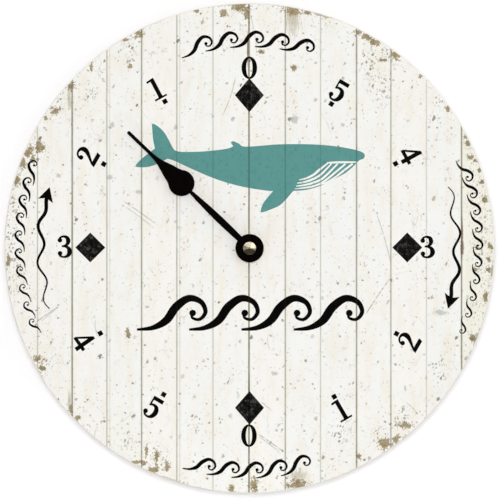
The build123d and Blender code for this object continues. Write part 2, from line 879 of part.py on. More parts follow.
def make_contact_plus():
    near = battery_depth - contact_width / 2
    far = battery_depth + contact_width / 2
    inner = contact_thickness - inner_half
    low = battery_height - leaf_ramp
    high = circuit_low + contact_tab_height
    body = block(-inner_half, inner, low, high, near, far)
    return body + contact_tab(-inner_half, contact_tab_lap - board_half_width)


def make_contact_minus():
    near = battery_depth - contact_width / 2
    far = battery_depth + contact_width / 2
    outer = inner_half - contact_thickness / 2
    reach = contact_thickness - inner_half + battery_length + contact_thickness / 2
    high = circuit_low + contact_tab_height
    flat = leaf_flat / 2
    route = Polyline(
        (outer, battery_height - flat - leaf_ramp - contact_slot_side),
        (outer, battery_height - flat - leaf_ramp),
        (reach, battery_height - flat),
        (reach, battery_height + flat),
        (outer, battery_height + flat + leaf_ramp),
        (outer, high),
    )
    body = slab(trace(route, contact_thickness), near, far)
    return body + contact_tab(board_half_width - contact_tab_lap, inner_half)


save("dial_board", make_dial_board())
save("dial_sheet", make_dial_sheet())
save("movement_case", make_movement_case())
save("back_cover", make_back_cover())
save("cover_screws", make_cover_screws())
save("bush", make_bush())
save("hanger", make_hanger())
save("rubber_washer", make_rubber_washer())
save("brass_washer", make_brass_washer())
save("hex_nut", make_hex_nut())
save("hand", make_hand())
save("hand_collet", make_hand_collet())
save("cap_nut", make_cap_nut())
save("tide_arbor", make_tide_arbor())
save("tide_wheel", make_tide_wheel())
save("reduction_wheel", make_reduction_wheel())
save("centre_pinion", make_centre_pinion())
save("clutch_spring", make_clutch_spring())
save("setting_pinion", make_setting_pinion())
save("setting_knob", make_setting_knob())
save("centre_wheel", make_centre_wheel())
save("third_wheel", make_third_wheel())
save("fourth_wheel", make_fourth_wheel())
save("fifth_wheel", make_fifth_wheel())
save("rotor_pinion", make_rotor_pinion())
save("rotor_magnet", make_rotor_magnet())
save("stator", make_stator())
save("coil_core", make_coil_core())
save("coil_bobbin", make_coil_bobbin())
save("coil_winding", make_coil_winding())
save("circuit_board", make_circuit_board())
save("quartz_crystal", make_quartz_crystal())
save("chip_cover", make_chip_cover())
save("battery", make_battery())
save("contact_plus", make_contact_plus())
save("contact_minus", make_contact_minus())
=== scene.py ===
from math import cos, hypot, pi, radians, sin

import bmesh
import bpy
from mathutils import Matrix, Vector
from mathutils.geometry import delaunay_2d_cdt


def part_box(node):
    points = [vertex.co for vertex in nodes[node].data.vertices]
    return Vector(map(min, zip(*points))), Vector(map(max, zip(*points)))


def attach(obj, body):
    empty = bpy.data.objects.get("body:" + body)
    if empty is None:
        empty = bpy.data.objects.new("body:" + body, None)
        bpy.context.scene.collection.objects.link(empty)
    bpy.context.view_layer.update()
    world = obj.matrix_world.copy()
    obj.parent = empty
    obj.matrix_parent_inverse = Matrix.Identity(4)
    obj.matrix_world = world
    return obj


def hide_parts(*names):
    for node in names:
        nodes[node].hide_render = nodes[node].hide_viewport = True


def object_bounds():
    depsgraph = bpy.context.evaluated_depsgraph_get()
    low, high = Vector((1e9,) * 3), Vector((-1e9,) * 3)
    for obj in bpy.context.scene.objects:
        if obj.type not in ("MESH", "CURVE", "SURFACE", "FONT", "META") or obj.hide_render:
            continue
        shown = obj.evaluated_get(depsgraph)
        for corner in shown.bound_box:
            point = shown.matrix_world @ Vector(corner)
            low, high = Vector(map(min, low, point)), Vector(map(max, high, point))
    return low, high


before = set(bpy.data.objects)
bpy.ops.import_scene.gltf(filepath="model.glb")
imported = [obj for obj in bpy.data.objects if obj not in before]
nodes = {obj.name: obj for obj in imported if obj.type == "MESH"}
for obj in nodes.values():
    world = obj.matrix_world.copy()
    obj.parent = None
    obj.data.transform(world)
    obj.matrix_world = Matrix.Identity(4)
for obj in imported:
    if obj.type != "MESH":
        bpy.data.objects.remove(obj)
cadLow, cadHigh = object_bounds()
scene = bpy.context.scene
mm = 0.001
print("frame loaded with", len(nodes), "CAD nodes")

# The dial is laid out in millimetres from the hand's axis, x to the right and z up
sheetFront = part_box("dial_sheet")[0].y
dialRadius = (cadHigh.x - cadLow.x) / 2 / mm
# The print sits a little off the board's middle, as it does in the photograph
printPlace = {"x": -0.44, "z": 0.18, "size": 0.9937}


def tone(red, green, blue):
    # a colour as read off a screen, turned into the linear values that the shader wants
    linear = [(c / 255 / 12.92) if c < 11 else ((c / 255 + 0.055) / 1.055) ** 2.4 for c in (red, green, blue)]
    return (*linear, 1.0)


def newObject(name, data):
    made = bpy.data.objects.new(name, data)
    scene.collection.objects.link(made)
    return made


# Shader maths: a socket that can be added, multiplied and compared like a number
class Value:
    def __init__(self, tree, socket):
        self.tree = tree
        self.socket = socket

    def math(self, operation, *others):
        node = self.tree.nodes.new("ShaderNodeMath")
        node.operation = operation
        for place, value in zip(node.inputs, (self, *others)):
            plug(self.tree, place, value)
        return Value(self.tree, node.outputs[0])

    def __add__(self, other):
        return self.math("ADD", other)

    def __mul__(self, other):
        return self.math("MULTIPLY", other)

    def __sub__(self, other):
        return self.math("SUBTRACT", other)

    def __truediv__(self, other):
        return self.math("DIVIDE", other)

    def __rsub__(self, other):
        return (self * -1) + other

    def __gt__(self, other):
        return self.math("GREATER_THAN", other)

    def __lt__(self, other):
        return self.math("LESS_THAN", other)

    def __abs__(self):
        return self.math("ABSOLUTE")

    __radd__ = __add__
    __rmul__ = __mul__


def plug(tree, place, value):
    if isinstance(value, Value):
        tree.links.new(value.socket, place)
    elif value is not None:
        place.default_value = value


def addNode(tree, kind, settings=None, values=None, out=0):
    # any node of any tree: its settings first, then the values or links of its sockets
    node = tree.nodes.new(kind)
    for label, value in (settings or {}).items():
        setattr(node, label, value)
    for label, value in (values or {}).items():
        plug(tree, node.inputs[label], value)
    return Value(tree, node.outputs[out])


# A material with its Principled shader, in millimetres of the object's own space
class Finish:
    def __init__(self, name, **constants):
        self.material = bpy.data.materials.new(name)
        self.material.use_nodes = True
        self.tree = self.material.node_tree
        self.shader = self.tree.nodes["Principled BSDF"]
        for label, value in constants.items():
            self.shader.inputs[label.replace("_", " ")].default_value = value
        place = self.add("ShaderNodeTexCoord", out="Object")
        self.place = self.add("ShaderNodeVectorMath", {"operation": "SCALE"}, {0: place, "Scale": 1 / mm})
        self.x, self.y, self.z = (self.split(self.place, axis) for axis in "XYZ")
        self.flat = self.join(self.x, self.z, 0.0)

    def fromAxis(self):
        # how far a point lies from the hand's axis, in mm
        return (self.x * self.x + self.z * self.z).math("SQRT")

    def followPrint(self):
        # notes how far a point lies from the board's edge, then measures it as the print is laid out
        self.fromEdge = dialRadius - self.fromAxis()
        self.x = (self.x - printPlace["x"]) / printPlace["size"]
        self.z = (self.z - printPlace["z"]) / printPlace["size"]
        self.flat = self.join(self.x, self.z, 0.0)
        self.place = self.join(self.x, self.y, self.z)

    def add(self, kind, settings=None, values=None, out=0):
        return addNode(self.tree, kind, settings, values, out)

    def split(self, vector, axis):
        return self.add("ShaderNodeSeparateXYZ", None, {0: vector}, out=axis)

    def join(self, x, y, z):
        return self.add("ShaderNodeCombineXYZ", None, {0: x, 1: y, 2: z})

    def noise(self, scale, where=None, detail=3.0, rough=0.55, warp=0.0, out="Fac"):
        values = {
            "Vector": where or self.place, "Scale": scale, "Detail": detail,
            "Roughness": rough, "Distortion": warp,
        }
        return self.add("ShaderNodeTexNoise", None, values, out)

    def random(self, number):
        return self.add("ShaderNodeTexWhiteNoise", {"noise_dimensions": "1D"}, {"W": number}, "Value")

    def cells(self, scale, where, feature="F1", out="Distance"):
        # flat Voronoi cells, read on the first two numbers of the vector
        settings = {"voronoi_dimensions": "2D", "feature": feature}
        return self.add("ShaderNodeTexVoronoi", settings, {"Vector": where, "Scale": scale}, out)

    def smooth(self, value, low, high):
        values = {"Value": value, "From Min": low, "From Max": high}
        return self.add("ShaderNodeMapRange", {"interpolation_type": "SMOOTHSTEP"}, values)

    def fade(self, value, full, gone, top=1.0):
        # top where the value is under full, and nothing where it is past gone
        values = {"Value": value, "From Min": full, "From Max": gone, "To Min": top, "To Max": 0.0}
        return self.add("ShaderNodeMapRange", {"interpolation_type": "SMOOTHSTEP"}, values)

    def between(self, value, low, high):
        return self.add("ShaderNodeMapRange", None, {"Value": value, "To Min": low, "To Max": high})

    def mix(self, share, first, second, blend="MIX"):
        settings = {"data_type": "RGBA", "blend_type": blend}
        return self.add("ShaderNodeMix", settings, {0: share, 6: first, 7: second}, out=2)

    def surface(self, colour, rough, height, depth, strength=0.5):
        # closes the finish: its colour, its roughness, and a bump whose depth is in mm
        values = {"Height": height, "Distance": depth * mm, "Strength": strength}
        bump = self.add("ShaderNodeBump", None, values)
        for label, value in {"Base Color": colour, "Roughness": rough, "Normal": bump}.items():
            plug(self.tree, self.shader.inputs[label], value)


def wear(node, finish):
    # gives a CAD node or a made piece its material
    node.data.materials.clear()
    node.data.materials.append(finish.material)
    for face in node.data.polygons:
        face.material_index = 0


# Printed planks: everything on the dial that is worn or painted shares these seams
planks = {
    "seams": [
        # x, full width, strength and share of brown
        (-115.7, 0.30, 0.45, 0.1), (-96.7, 0.62, 0.80, 0.2), (-77.7, 0.34, 0.56, 0.1),
        (-76.2, 0.20, 0.20, 0.0), (-58.7, 0.46, 0.74, 0.1), (-39.4, 0.36, 0.58, 0.2),
        (-37.8, 0.24, 0.22, 0.0), (-19.6, 0.30, 0.42, 0.0), (0.1, 0.58, 0.90, 0.3),
        (20.0, 0.40, 0.66, 0.5), (39.3, 0.30, 0.42, 0.0), (59.0, 0.46, 0.82, 0.2),
        (77.8, 0.42, 0.64, 0.3), (97.3, 0.26, 0.34, 0.0), (116.5, 0.48, 0.86, 0.2),
    ],
    "seamSoft": 0.34,
    "wobble": 0.12,
    "haloReach": 1.5,
    "haloTone": tone(240, 237, 214),
    "oliveTone": tone(104, 100, 76),
    "brownTone": tone(104, 80, 50),
    "plank": 19.4,
    "warmWhite": tone(249, 247, 242),
    "coolWhite": tone(247, 247, 244),
    "creamWhite": tone(245, 239, 226),
}


def plankSeams(finish):
    # seam strength from 0 to 1, its share of brown, and the cream light along it
    wave = finish.noise(0.05, finish.join(0.0, 0.0, finish.z), 3.0)
    x = finish.x + (wave - 0.5) * planks["wobble"]
    line = brown = halo = 0.0
    for place, width, strength, rust in planks["seams"]:
        away = abs(x - place)
        one = finish.fade(away, width / 2, width / 2 + planks["seamSoft"], strength)
        brown = one * rust + brown
        halo = finish.fade(away, 0.0, planks["haloReach"], strength).math("MAXIMUM", halo)
        line = one.math("MAXIMUM", line)
    worn = finish.noise(0.16, finish.join(finish.x * 0.06, 0.0, finish.z), 4.0, 0.65)
    return line * finish.between(worn, 0.55, 1.25).math("MINIMUM", 1.0), brown, halo


# How far a seed moves the flecks, how they lean with the slant, how torn they are, and their soft edge in mm
fleckShape = {
    "shift": (31.7, 17.3), "widen": 0.4, "lean": 0.6, "flatten": 0.25, "tear": 2.2, "tearScale": 0.9,
    "edge": (-0.1, 0.12),
}


def paintSpecks(finish, size, low, high, share, seed, slant=0.0):
    # flecks of a radius from low to high, in mm: one in each cell, of which only a share is painted
    shiftX, shiftZ = fleckShape["shift"]
    u = finish.x * (1 + slant * fleckShape["widen"]) - finish.z * slant * fleckShape["lean"] + seed * shiftX
    v = finish.z * (1 - slant * fleckShape["flatten"]) + seed * shiftZ
    torn = finish.noise(fleckShape["tearScale"] / high, finish.join(u, v, 0.0), 2.0, out="Color")
    u = u + (finish.split(torn, "X") - 0.5) * high * fleckShape["tear"]
    v = v + (finish.split(torn, "Y") - 0.5) * high * fleckShape["tear"]
    flat = finish.join(u, v, 0.0)
    distance = finish.cells(1 / size, flat)
    colour = finish.cells(1 / size, flat, out="Color")
    chance = finish.split(colour, "X")
    big = finish.split(colour, "Y")
    radius = (big * big * (high - low) + low) * (1 / size)
    inner, outer = fleckShape["edge"]
    fleck = finish.fade(distance - radius, inner / size, outer / size)
    return fleck * (chance > 1 - share) * (finish.split(colour, "Z") * 0.5 + 0.5)


# A scratch: half its solid width, half its soft width, and where its ends begin to fade
scratchShape = {"solid": 0.10, "soft": 0.44, "taper": 0.7}


def hairline(finish, x, z, half, turn, bend, strength):
    # a thin scratch: its middle, half its length, its direction in degrees and how much it bows
    c = cos(radians(turn))
    s = sin(radians(turn))
    along = (finish.x - x) * c + (finish.z - z) * s
    across = (finish.z - z) * c - (finish.x - x) * s + along * along * bend
    line = finish.fade(abs(across), scratchShape["solid"], scratchShape["soft"], strength)
    return line * finish.fade(abs(along), half * scratchShape["taper"], half)


flecks = {
    "layers": [
        # cell, smallest and largest radius, share of cells, seed, slant, two tones and strength
        (3.3, 0.14, 0.40, 0.46, 1.0, 0.3, tone(140, 137, 128), tone(178, 172, 156), 0.70),
        (5.6, 0.22, 0.66, 0.52, 2.0, -0.3, tone(96, 92, 82), tone(146, 136, 114), 0.85),
        (9.5, 0.30, 1.10, 0.60, 3.0, 0.5, tone(76, 72, 64), tone(126, 116, 92), 0.90),
    ],
    "crowded": [(1.7, 0.18, 0.60, 0.62, 4.0), (2.9, 0.30, 1.0, 0.50, 5.0)],
}
# What lies over the white wash: its tone, and how strongly it shows
layers = {
    "grain": (tone(224, 220, 210), 0.30),
    "cloud": (tone(218, 214, 204), 0.26),
    "halo": (planks["haloTone"], 0.42),
    "grit": (tone(132, 126, 108), 0.8),
    "crowded": (tone(122, 113, 90), 0.9),
    "smear": (tone(148, 145, 136), 0.48),
    "scratch": (tone(138, 135, 128), 1.0),
    "streak": (tone(164, 154, 118), 0.55),
    "rust": (planks["brownTone"], 0.8),
    "outerPlank": (planks["haloTone"], 0.35),
}
# Places of wear: x, z, half width and half height, in mm
chips = {
    "rimReach": 26.0,
    "tone": tone(168, 153, 121),
    "shade": tone(140, 126, 92),
    "outerTone": tone(112, 110, 86),
    "outerShare": 0.32,
    "places": [
        (-86.1, 99.1, 1.1, 2.6), (-97.0, 88.4, 2.8, 2.4),
        (-105.8, 75.2, 2.5, 2.7), (-111.3, 71.0, 1.4, 1.6),
        (-114.4, 55.5, 2.4, 3.6), (-120.8, 52.3, 3.2, 3.0),
        (-123.9, 46.6, 1.9, 3.6), (-118.3, 47.8, 1.5, 1.7),
        (-127.0, 37.4, 1.7, 3.2), (-60.8, 117.6, 2.8, 2.3),
        (-67.8, 114.0, 2.0, 1.3), (-65.3, 99.7, 1.5, 1.6),
        (-28.5, 129.9, 1.7, 1.3), (-13.8, 128.8, 1.9, 2.0),
        (-4.4, 131.4, 4.8, 2.8), (-1.4, 128.6, 1.6, 5.0),
        (24.6, 130.4, 6.0, 3.4), (32.4, 129.2, 1.8, 1.2), (59.9, 118.1, 1.7, 1.7), (64.7, 115.6, 3.0, 1.9),
        (69.2, 112.4, 2.8, 2.5), (6.3, 107.2, 2.0, 1.3), (24.3, 98.4, 1.6, 1.7), (80.4, 105.2, 2.8, 2.8),
        (73.2, 102.8, 2.8, 1.3), (94.1, 93.9, 1.3, 1.0), (109.1, 76.0, 1.2, 1.6), (119.9, 57.4, 1.2, 2.0),
        (129.0, 26.1, 1.5, 1.5), (124.7, 0.0, 1.5, 1.4), (132.4, 0.8, 1.5, 2.3), (129.8, -26.7, 1.6, 2.8),
        (122.7, -49.3, 1.6, 1.5), (85.0, -97.2, 4.0, 2.1),
        (80.5, -105.0, 2.8, 2.3), (74.6, -107.4, 4.0, 3.2),
        (60.3, -114.6, 1.3, 1.9), (26.6, -129.6, 5.6, 2.8),
        (2.9, -130.2, 2.7, 4.4), (-9.5, -131.4, 1.5, 2.0),
        (-44.8, -119.7, 1.4, 2.8), (-50.5, -115.2, 1.3, 4.4),
        (-52.1, -121.7, 3.4, 1.5), (-57.6, -117.9, 2.2, 1.6),
        (-56.2, -111.5, 1.0, 2.6), (-62.5, -117.4, 3.0, 0.9),
        (-97.6, -88.4, 1.0, 3.0), (-93.8, -93.1, 1.7, 1.2),
        (-115.1, -61.0, 3.0, 1.5), (-113.1, -65.9, 2.8, 1.3),
        (-66.1, -46.9, 1.3, 3.0), (-131.6, -6.0, 1.2, 4.0),
        (119.0, 60.8, 1.6, 1.2), (121.4, 49.8, 2.0, 1.4), (123.6, 47.6, 1.2, 1.1), (126.3, 42.4, 1.1, 1.0),
        (127.8, 35.8, 1.6, 1.4), (123.5, -11.5, 1.4, 1.4),
        (131.6, -12.2, 1.4, 1.5), (131.0, -6.4, 1.4, 1.4),
    ],
}
crowds = [
    # where dark flecks stand close together
    (-87.2, 87.0, 3.0, 9.0), (-94.2, 93.9, 2.6, 2.8), (-118.1, 59.8, 4.4, 4.6),
    (-65.6, 107.0, 6.5, 7.5), (66.0, 102.0, 5.5, 9.0), (57.0, 117.0, 4.0, 3.4),
    (76.0, 107.0, 4.6, 4.6), (122.2, 48.7, 3.4, 6.0), (104.5, 80.0, 4.0, 6.0),
    (-66.1, -105.0, 2.6, 6.5), (-45.5, -118.0, 4.0, 5.0), (-29.5, -96.0, 5.4, 6.4),
    (-15.2, -93.9, 3.6, 3.0), (17.6, -97.5, 3.2, 8.5), (71.5, -102.0, 5.0, 5.4),
    (105.0, -66.0, 6.0, 9.5), (50.5, -100.5, 7.5, 8.5), (-111.0, -63.0, 5.0, 5.5),
    (-52.0, -111.0, 6.0, 6.0), (84.0, -92.0, 4.6, 5.6), (121.0, 60.0, 4.5, 8.0),
    (125.5, 42.0, 5.5, 12.0), (128.5, 22.0, 4.0, 9.0), (128.0, -4.0, 4.0, 9.0),
    (125.5, -34.0, 5.0, 9.0), (-127.0, 26.0, 3.5, 8.0), (-104.0, 83.0, 4.0, 6.0), (-126.0, -14.0, 4.0, 9.0),
    (128.5, 14.0, 9.0, 56.0), (-129.0, 10.0, 5.0, 44.0), (72.0, 88.0, 8.0, 12.0),
]
# Where lines are dragged down through the paint, where a seam is rusty, and grey smudges
streaks = [
    (24.0, 124.0, 5.0, 9.5), (-98.4, 81.5, 1.6, 7.5), (-98.2, -84.0, 1.4, 7.0), (27.0, -124.5, 6.5, 4.0),
]
rusty = [
    (116.8, 5.0, 0.8, 15.0), (116.8, 0.0, 1.3, 6.0), (-0.6, 109.0, 0.6, 12.0), (0.2, -84.0, 0.55, 18.0),
]
smears = [
    (-104.5, 39.6, 1.7, 1.4), (-75.0, 67.3, 1.7, 1.9), (-76.3, 38.7, 2.4, 1.6), (14.1, -68.7, 2.2, 1.3),
    (105.0, -35.5, 4.4, 2.0), (-60.5, 30.8, 2.4, 1.4), (25.2, 70.2, 2.4, 2.6), (51.3, 67.2, 1.4, 1.2),
    (36.5, 81.0, 1.2, 1.4), (-40.0, 66.0, 1.2, 1.8), (85.6, -76.8, 0.8, 1.6), (102.7, 59.2, 0.9, 0.9),
]
scratches = [
    # middle, half length, direction in degrees, bow and strength
    (-59.0, 19.0, 12.5, -35.0, 0.000, 0.52), (-59.5, 16.8, 11.0, -37.0, 0.002, 0.38),
    (-10.2, 82.5, 12.5, 71.0, -0.006, 0.48), (70.5, -26.5, 12.5, 56.0, 0.001, 0.72),
    (12.3, -106.8, 9.0, -35.0, 0.000, 0.64), (11.4, -107.6, 8.0, -37.0, 0.000, 0.44),
    (-110.5, -36.4, 8.6, 35.0, 0.000, 0.60), (-108.5, -35.8, 6.4, 40.0, 0.004, 0.44),
    (74.4, 5.0, 16.0, -74.0, 0.002, 0.48), (9.8, -86.7, 4.0, -40.0, 0.010, 0.48),
    (92.6, 17.0, 5.4, -96.0, 0.050, 0.30), (10.4, -52.0, 5.0, -80.0, -0.045, 0.28),
    (3.0, 118.0, 13.0, -80.0, 0.004, 0.34), (-84.5, -103.0, 6.5, 85.0, 0.040, 0.34),
    (-84.0, -44.5, 5.5, 100.0, 0.045, 0.34), (89.6, -87.5, 5.0, -45.0, 0.020, 0.36),
]


def inSpots(finish, places):
    # 1 in the middle of the nearest listed oval, 0 on its outline, and less outside
    nearest = None
    for x, z, wide, high in places:
        values = {0: finish.flat, 1: (1 / wide, 1 / high, 0.0), 2: (-x / wide, -z / high, 0.0)}
        oval = finish.add("ShaderNodeVectorMath", {"operation": "MULTIPLY_ADD"}, values)
        reach = finish.add("ShaderNodeVectorMath", {"operation": "LENGTH"}, {0: oval}, "Value")
        nearest = reach if nearest is None else nearest.math("MINIMUM", reach)
    return 1 - nearest


def bareSpots(finish):
    # chipped paint: the listed spots with torn edges, crumbs round them, and a scatter along the rim
    torn = finish.noise(0.42, None, 6.0, 0.62, 0.5)
    tornFine = finish.noise(1.25, None, 3.0, 0.6)
    spots = inSpots(finish, chips["places"])
    placed = finish.smooth(spots + (torn - 0.5) * 3.4 + (tornFine - 0.5) * 2.6 - 0.05, 0.0, 0.14)
    nearRim = finish.fade(finish.fromEdge, 0.0, chips["rimReach"])
    clouds = finish.noise(0.05, None, 3.0, 0.5)
    near = finish.smooth(spots, -1.5, 0.1).math("MAXIMUM", nearRim * finish.smooth(clouds, 0.47, 0.6) * 0.8)
    crumbs = paintSpecks(finish, 1.9, 0.16, 0.62, 0.5, 8.0) * near
    edge = finish.smooth(0.6 - finish.fromEdge + (torn - 0.5) * 4.2 + (clouds - 0.5) * 7.0, 0.7, 1.0)
    return placed.math("MAXIMUM", crumbs * 0.8).math("MAXIMUM", edge * 0.7), nearRim


def makePrint():
    finish = Finish("washedPlanks", Specular_IOR_Level=0.12)
    finish.followPrint()

    def lay(name, share):
        # one named layer over the colour so far
        layerTone, strength = layers[name]
        return finish.mix(share * strength, colour, layerTone)

    seam, brown, halo = plankSeams(finish)
    bare, nearRim = bareSpots(finish)
    # the wash: cooler and warmer planks with cream blotches, brush lines and faint clouds
    plank = (finish.x / planks["plank"]).math("FLOOR")
    colour = finish.mix(finish.random(plank + 0.7), planks["warmWhite"], planks["coolWhite"])
    blotch = finish.noise(1.0, finish.join(finish.x * 0.16, plank * 7.0, finish.z * 0.045), 5.0, 0.62)
    brushed = finish.noise(1.0, finish.join(finish.x * 1.1, plank * 9.0, finish.z * 0.03), 4.0, 0.6)
    cream = finish.smooth(blotch * 0.75 + brushed * 0.25, 0.44, 0.66) * 0.8
    colour = finish.mix(cream + nearRim * 0.10, colour, planks["creamWhite"])
    grain = finish.noise(1.0, finish.join(finish.x * 2.6, plank * 5.0, finish.z * 0.16), 4.0, 0.65)
    colour = lay("grain", finish.smooth(grain, 0.58, 0.78))
    colour = lay("cloud", finish.smooth(finish.noise(0.16, None, 6.0, 0.66), 0.55, 0.8))
    colour = lay("halo", halo)
    # flecks from dust-fine to a millimetre, closer together in the crowded places and at the rim
    crowd = finish.smooth(inSpots(finish, crowds) + (finish.noise(0.3, None, 3.0) - 0.5) * 1.2, 0.0, 0.5)
    patchy = finish.smooth(finish.noise(0.07, None, 4.0, 0.65) + nearRim * 0.10, 0.42, 0.58)
    for size, low, high, share, seed, slant, dark, light, strength in flecks["layers"]:
        fleck = paintSpecks(finish, size, low, high, share, seed, slant)
        fleckTone = finish.mix(finish.noise(0.13), dark, light)
        colour = finish.mix(fleck * (patchy * 0.65 + 0.35) * strength, colour, fleckTone)
    grit = finish.smooth(finish.noise(0.8, None, 5.0, 0.72), 0.62, 0.67)
    gritPlace = finish.noise(0.10, None, 4.0, 0.65) + crowd * 0.18 + nearRim * 0.10
    colour = lay("grit", grit * finish.smooth(gritPlace, 0.54, 0.64))
    for size, low, high, share, seed in flecks["crowded"]:
        colour = lay("crowded", paintSpecks(finish, size, low, high, share, seed, 0.6) * crowd)
    smudged = (finish.noise(0.8, None, 5.0, 0.7) - 0.5) * 2.6
    colour = lay("smear", finish.smooth(inSpots(finish, smears) + smudged, 0.0, 0.5))
    worn = None
    for row in scratches:
        line = hairline(finish, *row)
        worn = line if worn is None else worn.math("MAXIMUM", line)
    worn = worn * finish.smooth(finish.noise(0.5, None, 4.0), 0.30, 0.52)
    # fine hairs: the contour lines of two slow noises, kept in short stretches
    for seed, slow in ((3.0, 0.085), (7.0, 0.14)):
        place = finish.join(finish.x + seed * 41.0, finish.z * 0.7, seed)
        hair = finish.fade(abs(finish.noise(slow, place, 2.0, 0.5) - 0.5), 0.0014, 0.0056, 0.38)
        kept = finish.smooth(finish.noise(slow * 1.7, place, 2.0, 0.5, 0.3), 0.56, 0.62)
        worn = worn.math("MAXIMUM", hair * kept)
    colour = lay("scratch", worn)
    lines = finish.noise(1.0, finish.join(finish.x * 3.4, finish.z * 0.16, 0.0), 4.0, 0.6)
    colour = lay("streak", finish.smooth(inSpots(finish, streaks) * 0.35 + lines, 0.56, 0.70))
    # bare wood, seams and their rusty stretches
    cloudy = finish.smooth(finish.noise(0.5, None, 5.0), 0.4, 0.66)
    bareTone = finish.mix(cloudy, chips["tone"], chips["shade"])
    outer = finish.smooth(finish.x, 112.0, 119.0) * chips["outerShare"]
    bareTone = finish.mix(outer, bareTone, chips["outerTone"])
    colour = lay("outerPlank", finish.smooth(finish.x, 114.0, 119.0))
    colour = finish.mix(bare, colour, bareTone)
    colour = finish.mix(seam, colour, finish.mix(brown, planks["oliveTone"], planks["brownTone"]))
    corroded = (finish.noise(0.9, None, 4.0) - 0.5) * 0.8
    colour = lay("rust", finish.smooth(inSpots(finish, rusty) + corroded, 0.05, 0.5))
    weave = finish.noise(2.4, None, 4.0, 0.6)
    rough = finish.between(weave, 0.46, 0.60) + bare * 0.06
    finish.surface(colour, rough, weave - seam * 0.6 - bare * 0.25, 0.02, 0.6)
    return finish


inks = {
    # name: its tone, the seams' tone in it, the mottle's tone, and how strongly mottle and seams show
    "blackInk": (tone(4, 4, 3), tone(36, 30, 18), tone(26, 25, 23), 0.5, 0.6),
    "diamondInk": (tone(12, 12, 11), tone(8, 7, 5), tone(92, 91, 87), 0.9, 0.6),
    "tealInk": (tone(96, 153, 148), tone(58, 98, 88), tone(60, 104, 98), 0.42, 0.8),
}


def makeInk(name, colour, seamColour, mottle, strength, seamShare):
    # a printed mark: seams and flecks of the planks show through it
    finish = Finish(name, Specular_IOR_Level=0.02)
    finish.followPrint()
    seam, _, _ = plankSeams(finish)
    cloud = finish.smooth(finish.noise(0.5, None, 7.0, 0.72), 0.46, 0.72)
    brushed = finish.noise(1.0, finish.join(finish.x * 1.6, 0.0, finish.z * 0.12), 4.0, 0.6)
    painted = finish.mix(cloud * finish.smooth(brushed, 0.3, 0.6) * strength, colour, mottle)
    for size, seed in ((3.6, 4.0), (8.0, 6.0)):
        fleck = paintSpecks(finish, size, 0.15, size / 9, 0.45, seed)
        painted = finish.mix(fleck * strength, painted, mottle)
    painted = finish.mix(seam * seamShare, painted, seamColour)
    finish.surface(painted, finish.between(cloud, 0.46, 0.62), finish.noise(2.4, None, 4.0, 0.6), 0.02)
    return finish


printFinish = makePrint()
blackInk, diamondInk, tealInk = (makeInk(name, *row) for name, row in inks.items())
wear(nodes["dial_sheet"], printFinish)
print("dial print painted")


# Printed marks are thin solids of ink on the sheet: thickness and smallest step in mm, flat angle in degrees
inkLayer = {"thickness": 0.04, "step": 1e-5, "flat": 0.5}


def wound(loop):
    # the same outline, run counter-clockwise
    twiceArea = sum(a[0] * b[1] - b[0] * a[1] for a, b in zip(loop, [*loop[1:], loop[0]]))
    return loop if twiceArea > 0 else loop[::-1]


def inkSolid(name, shapes, holes=()):
    # joins overlapping outlines into one flat solid: shapes are filled, holes stay open
    loops = [wound(loop) for loop in (*shapes, *holes)]
    corners = [Vector(point) for loop in loops for point in loop]
    faces = []
    for loop in loops:
        start = sum(len(face) for face in faces)
        faces.append(list(range(start, start + len(loop))))
    points, _, triangles, _, _, origins = delaunay_2d_cdt(corners, [], faces, 1, inkLayer["step"])
    body = bmesh.new()
    corners = [body.verts.new((point.x * mm, 0.0, point.y * mm)) for point in points]
    for triangle, origin in zip(triangles, origins):
        if origin and all(number < len(shapes) for number in origin):
            body.faces.new([corners[index] for index in triangle])
    bmesh.ops.delete(body, geom=[v for v in body.verts if not v.link_faces], context="VERTS")
    flat = radians(inkLayer["flat"])
    bmesh.ops.dissolve_limit(body, angle_limit=flat, verts=body.verts, edges=body.edges)
    grown = bmesh.ops.extrude_face_region(body, geom=body.faces[:], use_keep_orig=True)
    raised = [item for item in grown["geom"] if isinstance(item, bmesh.types.BMVert)]
    bmesh.ops.translate(body, verts=raised, vec=(0.0, -inkLayer["thickness"] * mm, 0.0))
    bmesh.ops.recalc_face_normals(body, faces=body.faces)
    mesh = bpy.data.meshes.new(name)
    body.to_mesh(mesh)
    body.free()
    return newObject(name, mesh)


def placed(points, x=0.0, z=0.0, turn=0.0, size=1.0):
    # points turned counter-clockwise by a number of degrees, sized, and moved to a place
    c = cos(radians(turn)) * size
    s = sin(radians(turn)) * size
    return [(x + px * c - pz * s, z + px * s + pz * c) for px, pz in points]


def oval(x, z, wide, high, steps=40):
    return [(x + wide * cos(2 * pi * k / steps), z + high * sin(2 * pi * k / steps)) for k in range(steps)]


def blend(a, b, c, d, t):
    # the Catmull-Rom number a share t of the way from b to c
    curve = (2 * a - 5 * b + 4 * c - d) * t * t + (3 * b - a - 3 * c + d) * t ** 3
    return 0.5 * (2 * b + (c - a) * t + curve)


def curveThrough(track, steps=8):
    # a smooth line through the listed rows; every number in a row is blended alike
    last = len(track) - 1
    rows = []
    for index in range(last):
        four = [track[min(max(index + k, 0), last)] for k in (-1, 0, 1, 2)]
        for step in range(steps):
            rows.append(tuple(blend(*numbers, step / steps) for numbers in zip(*four)))
    return [*rows, tuple(track[-1])]


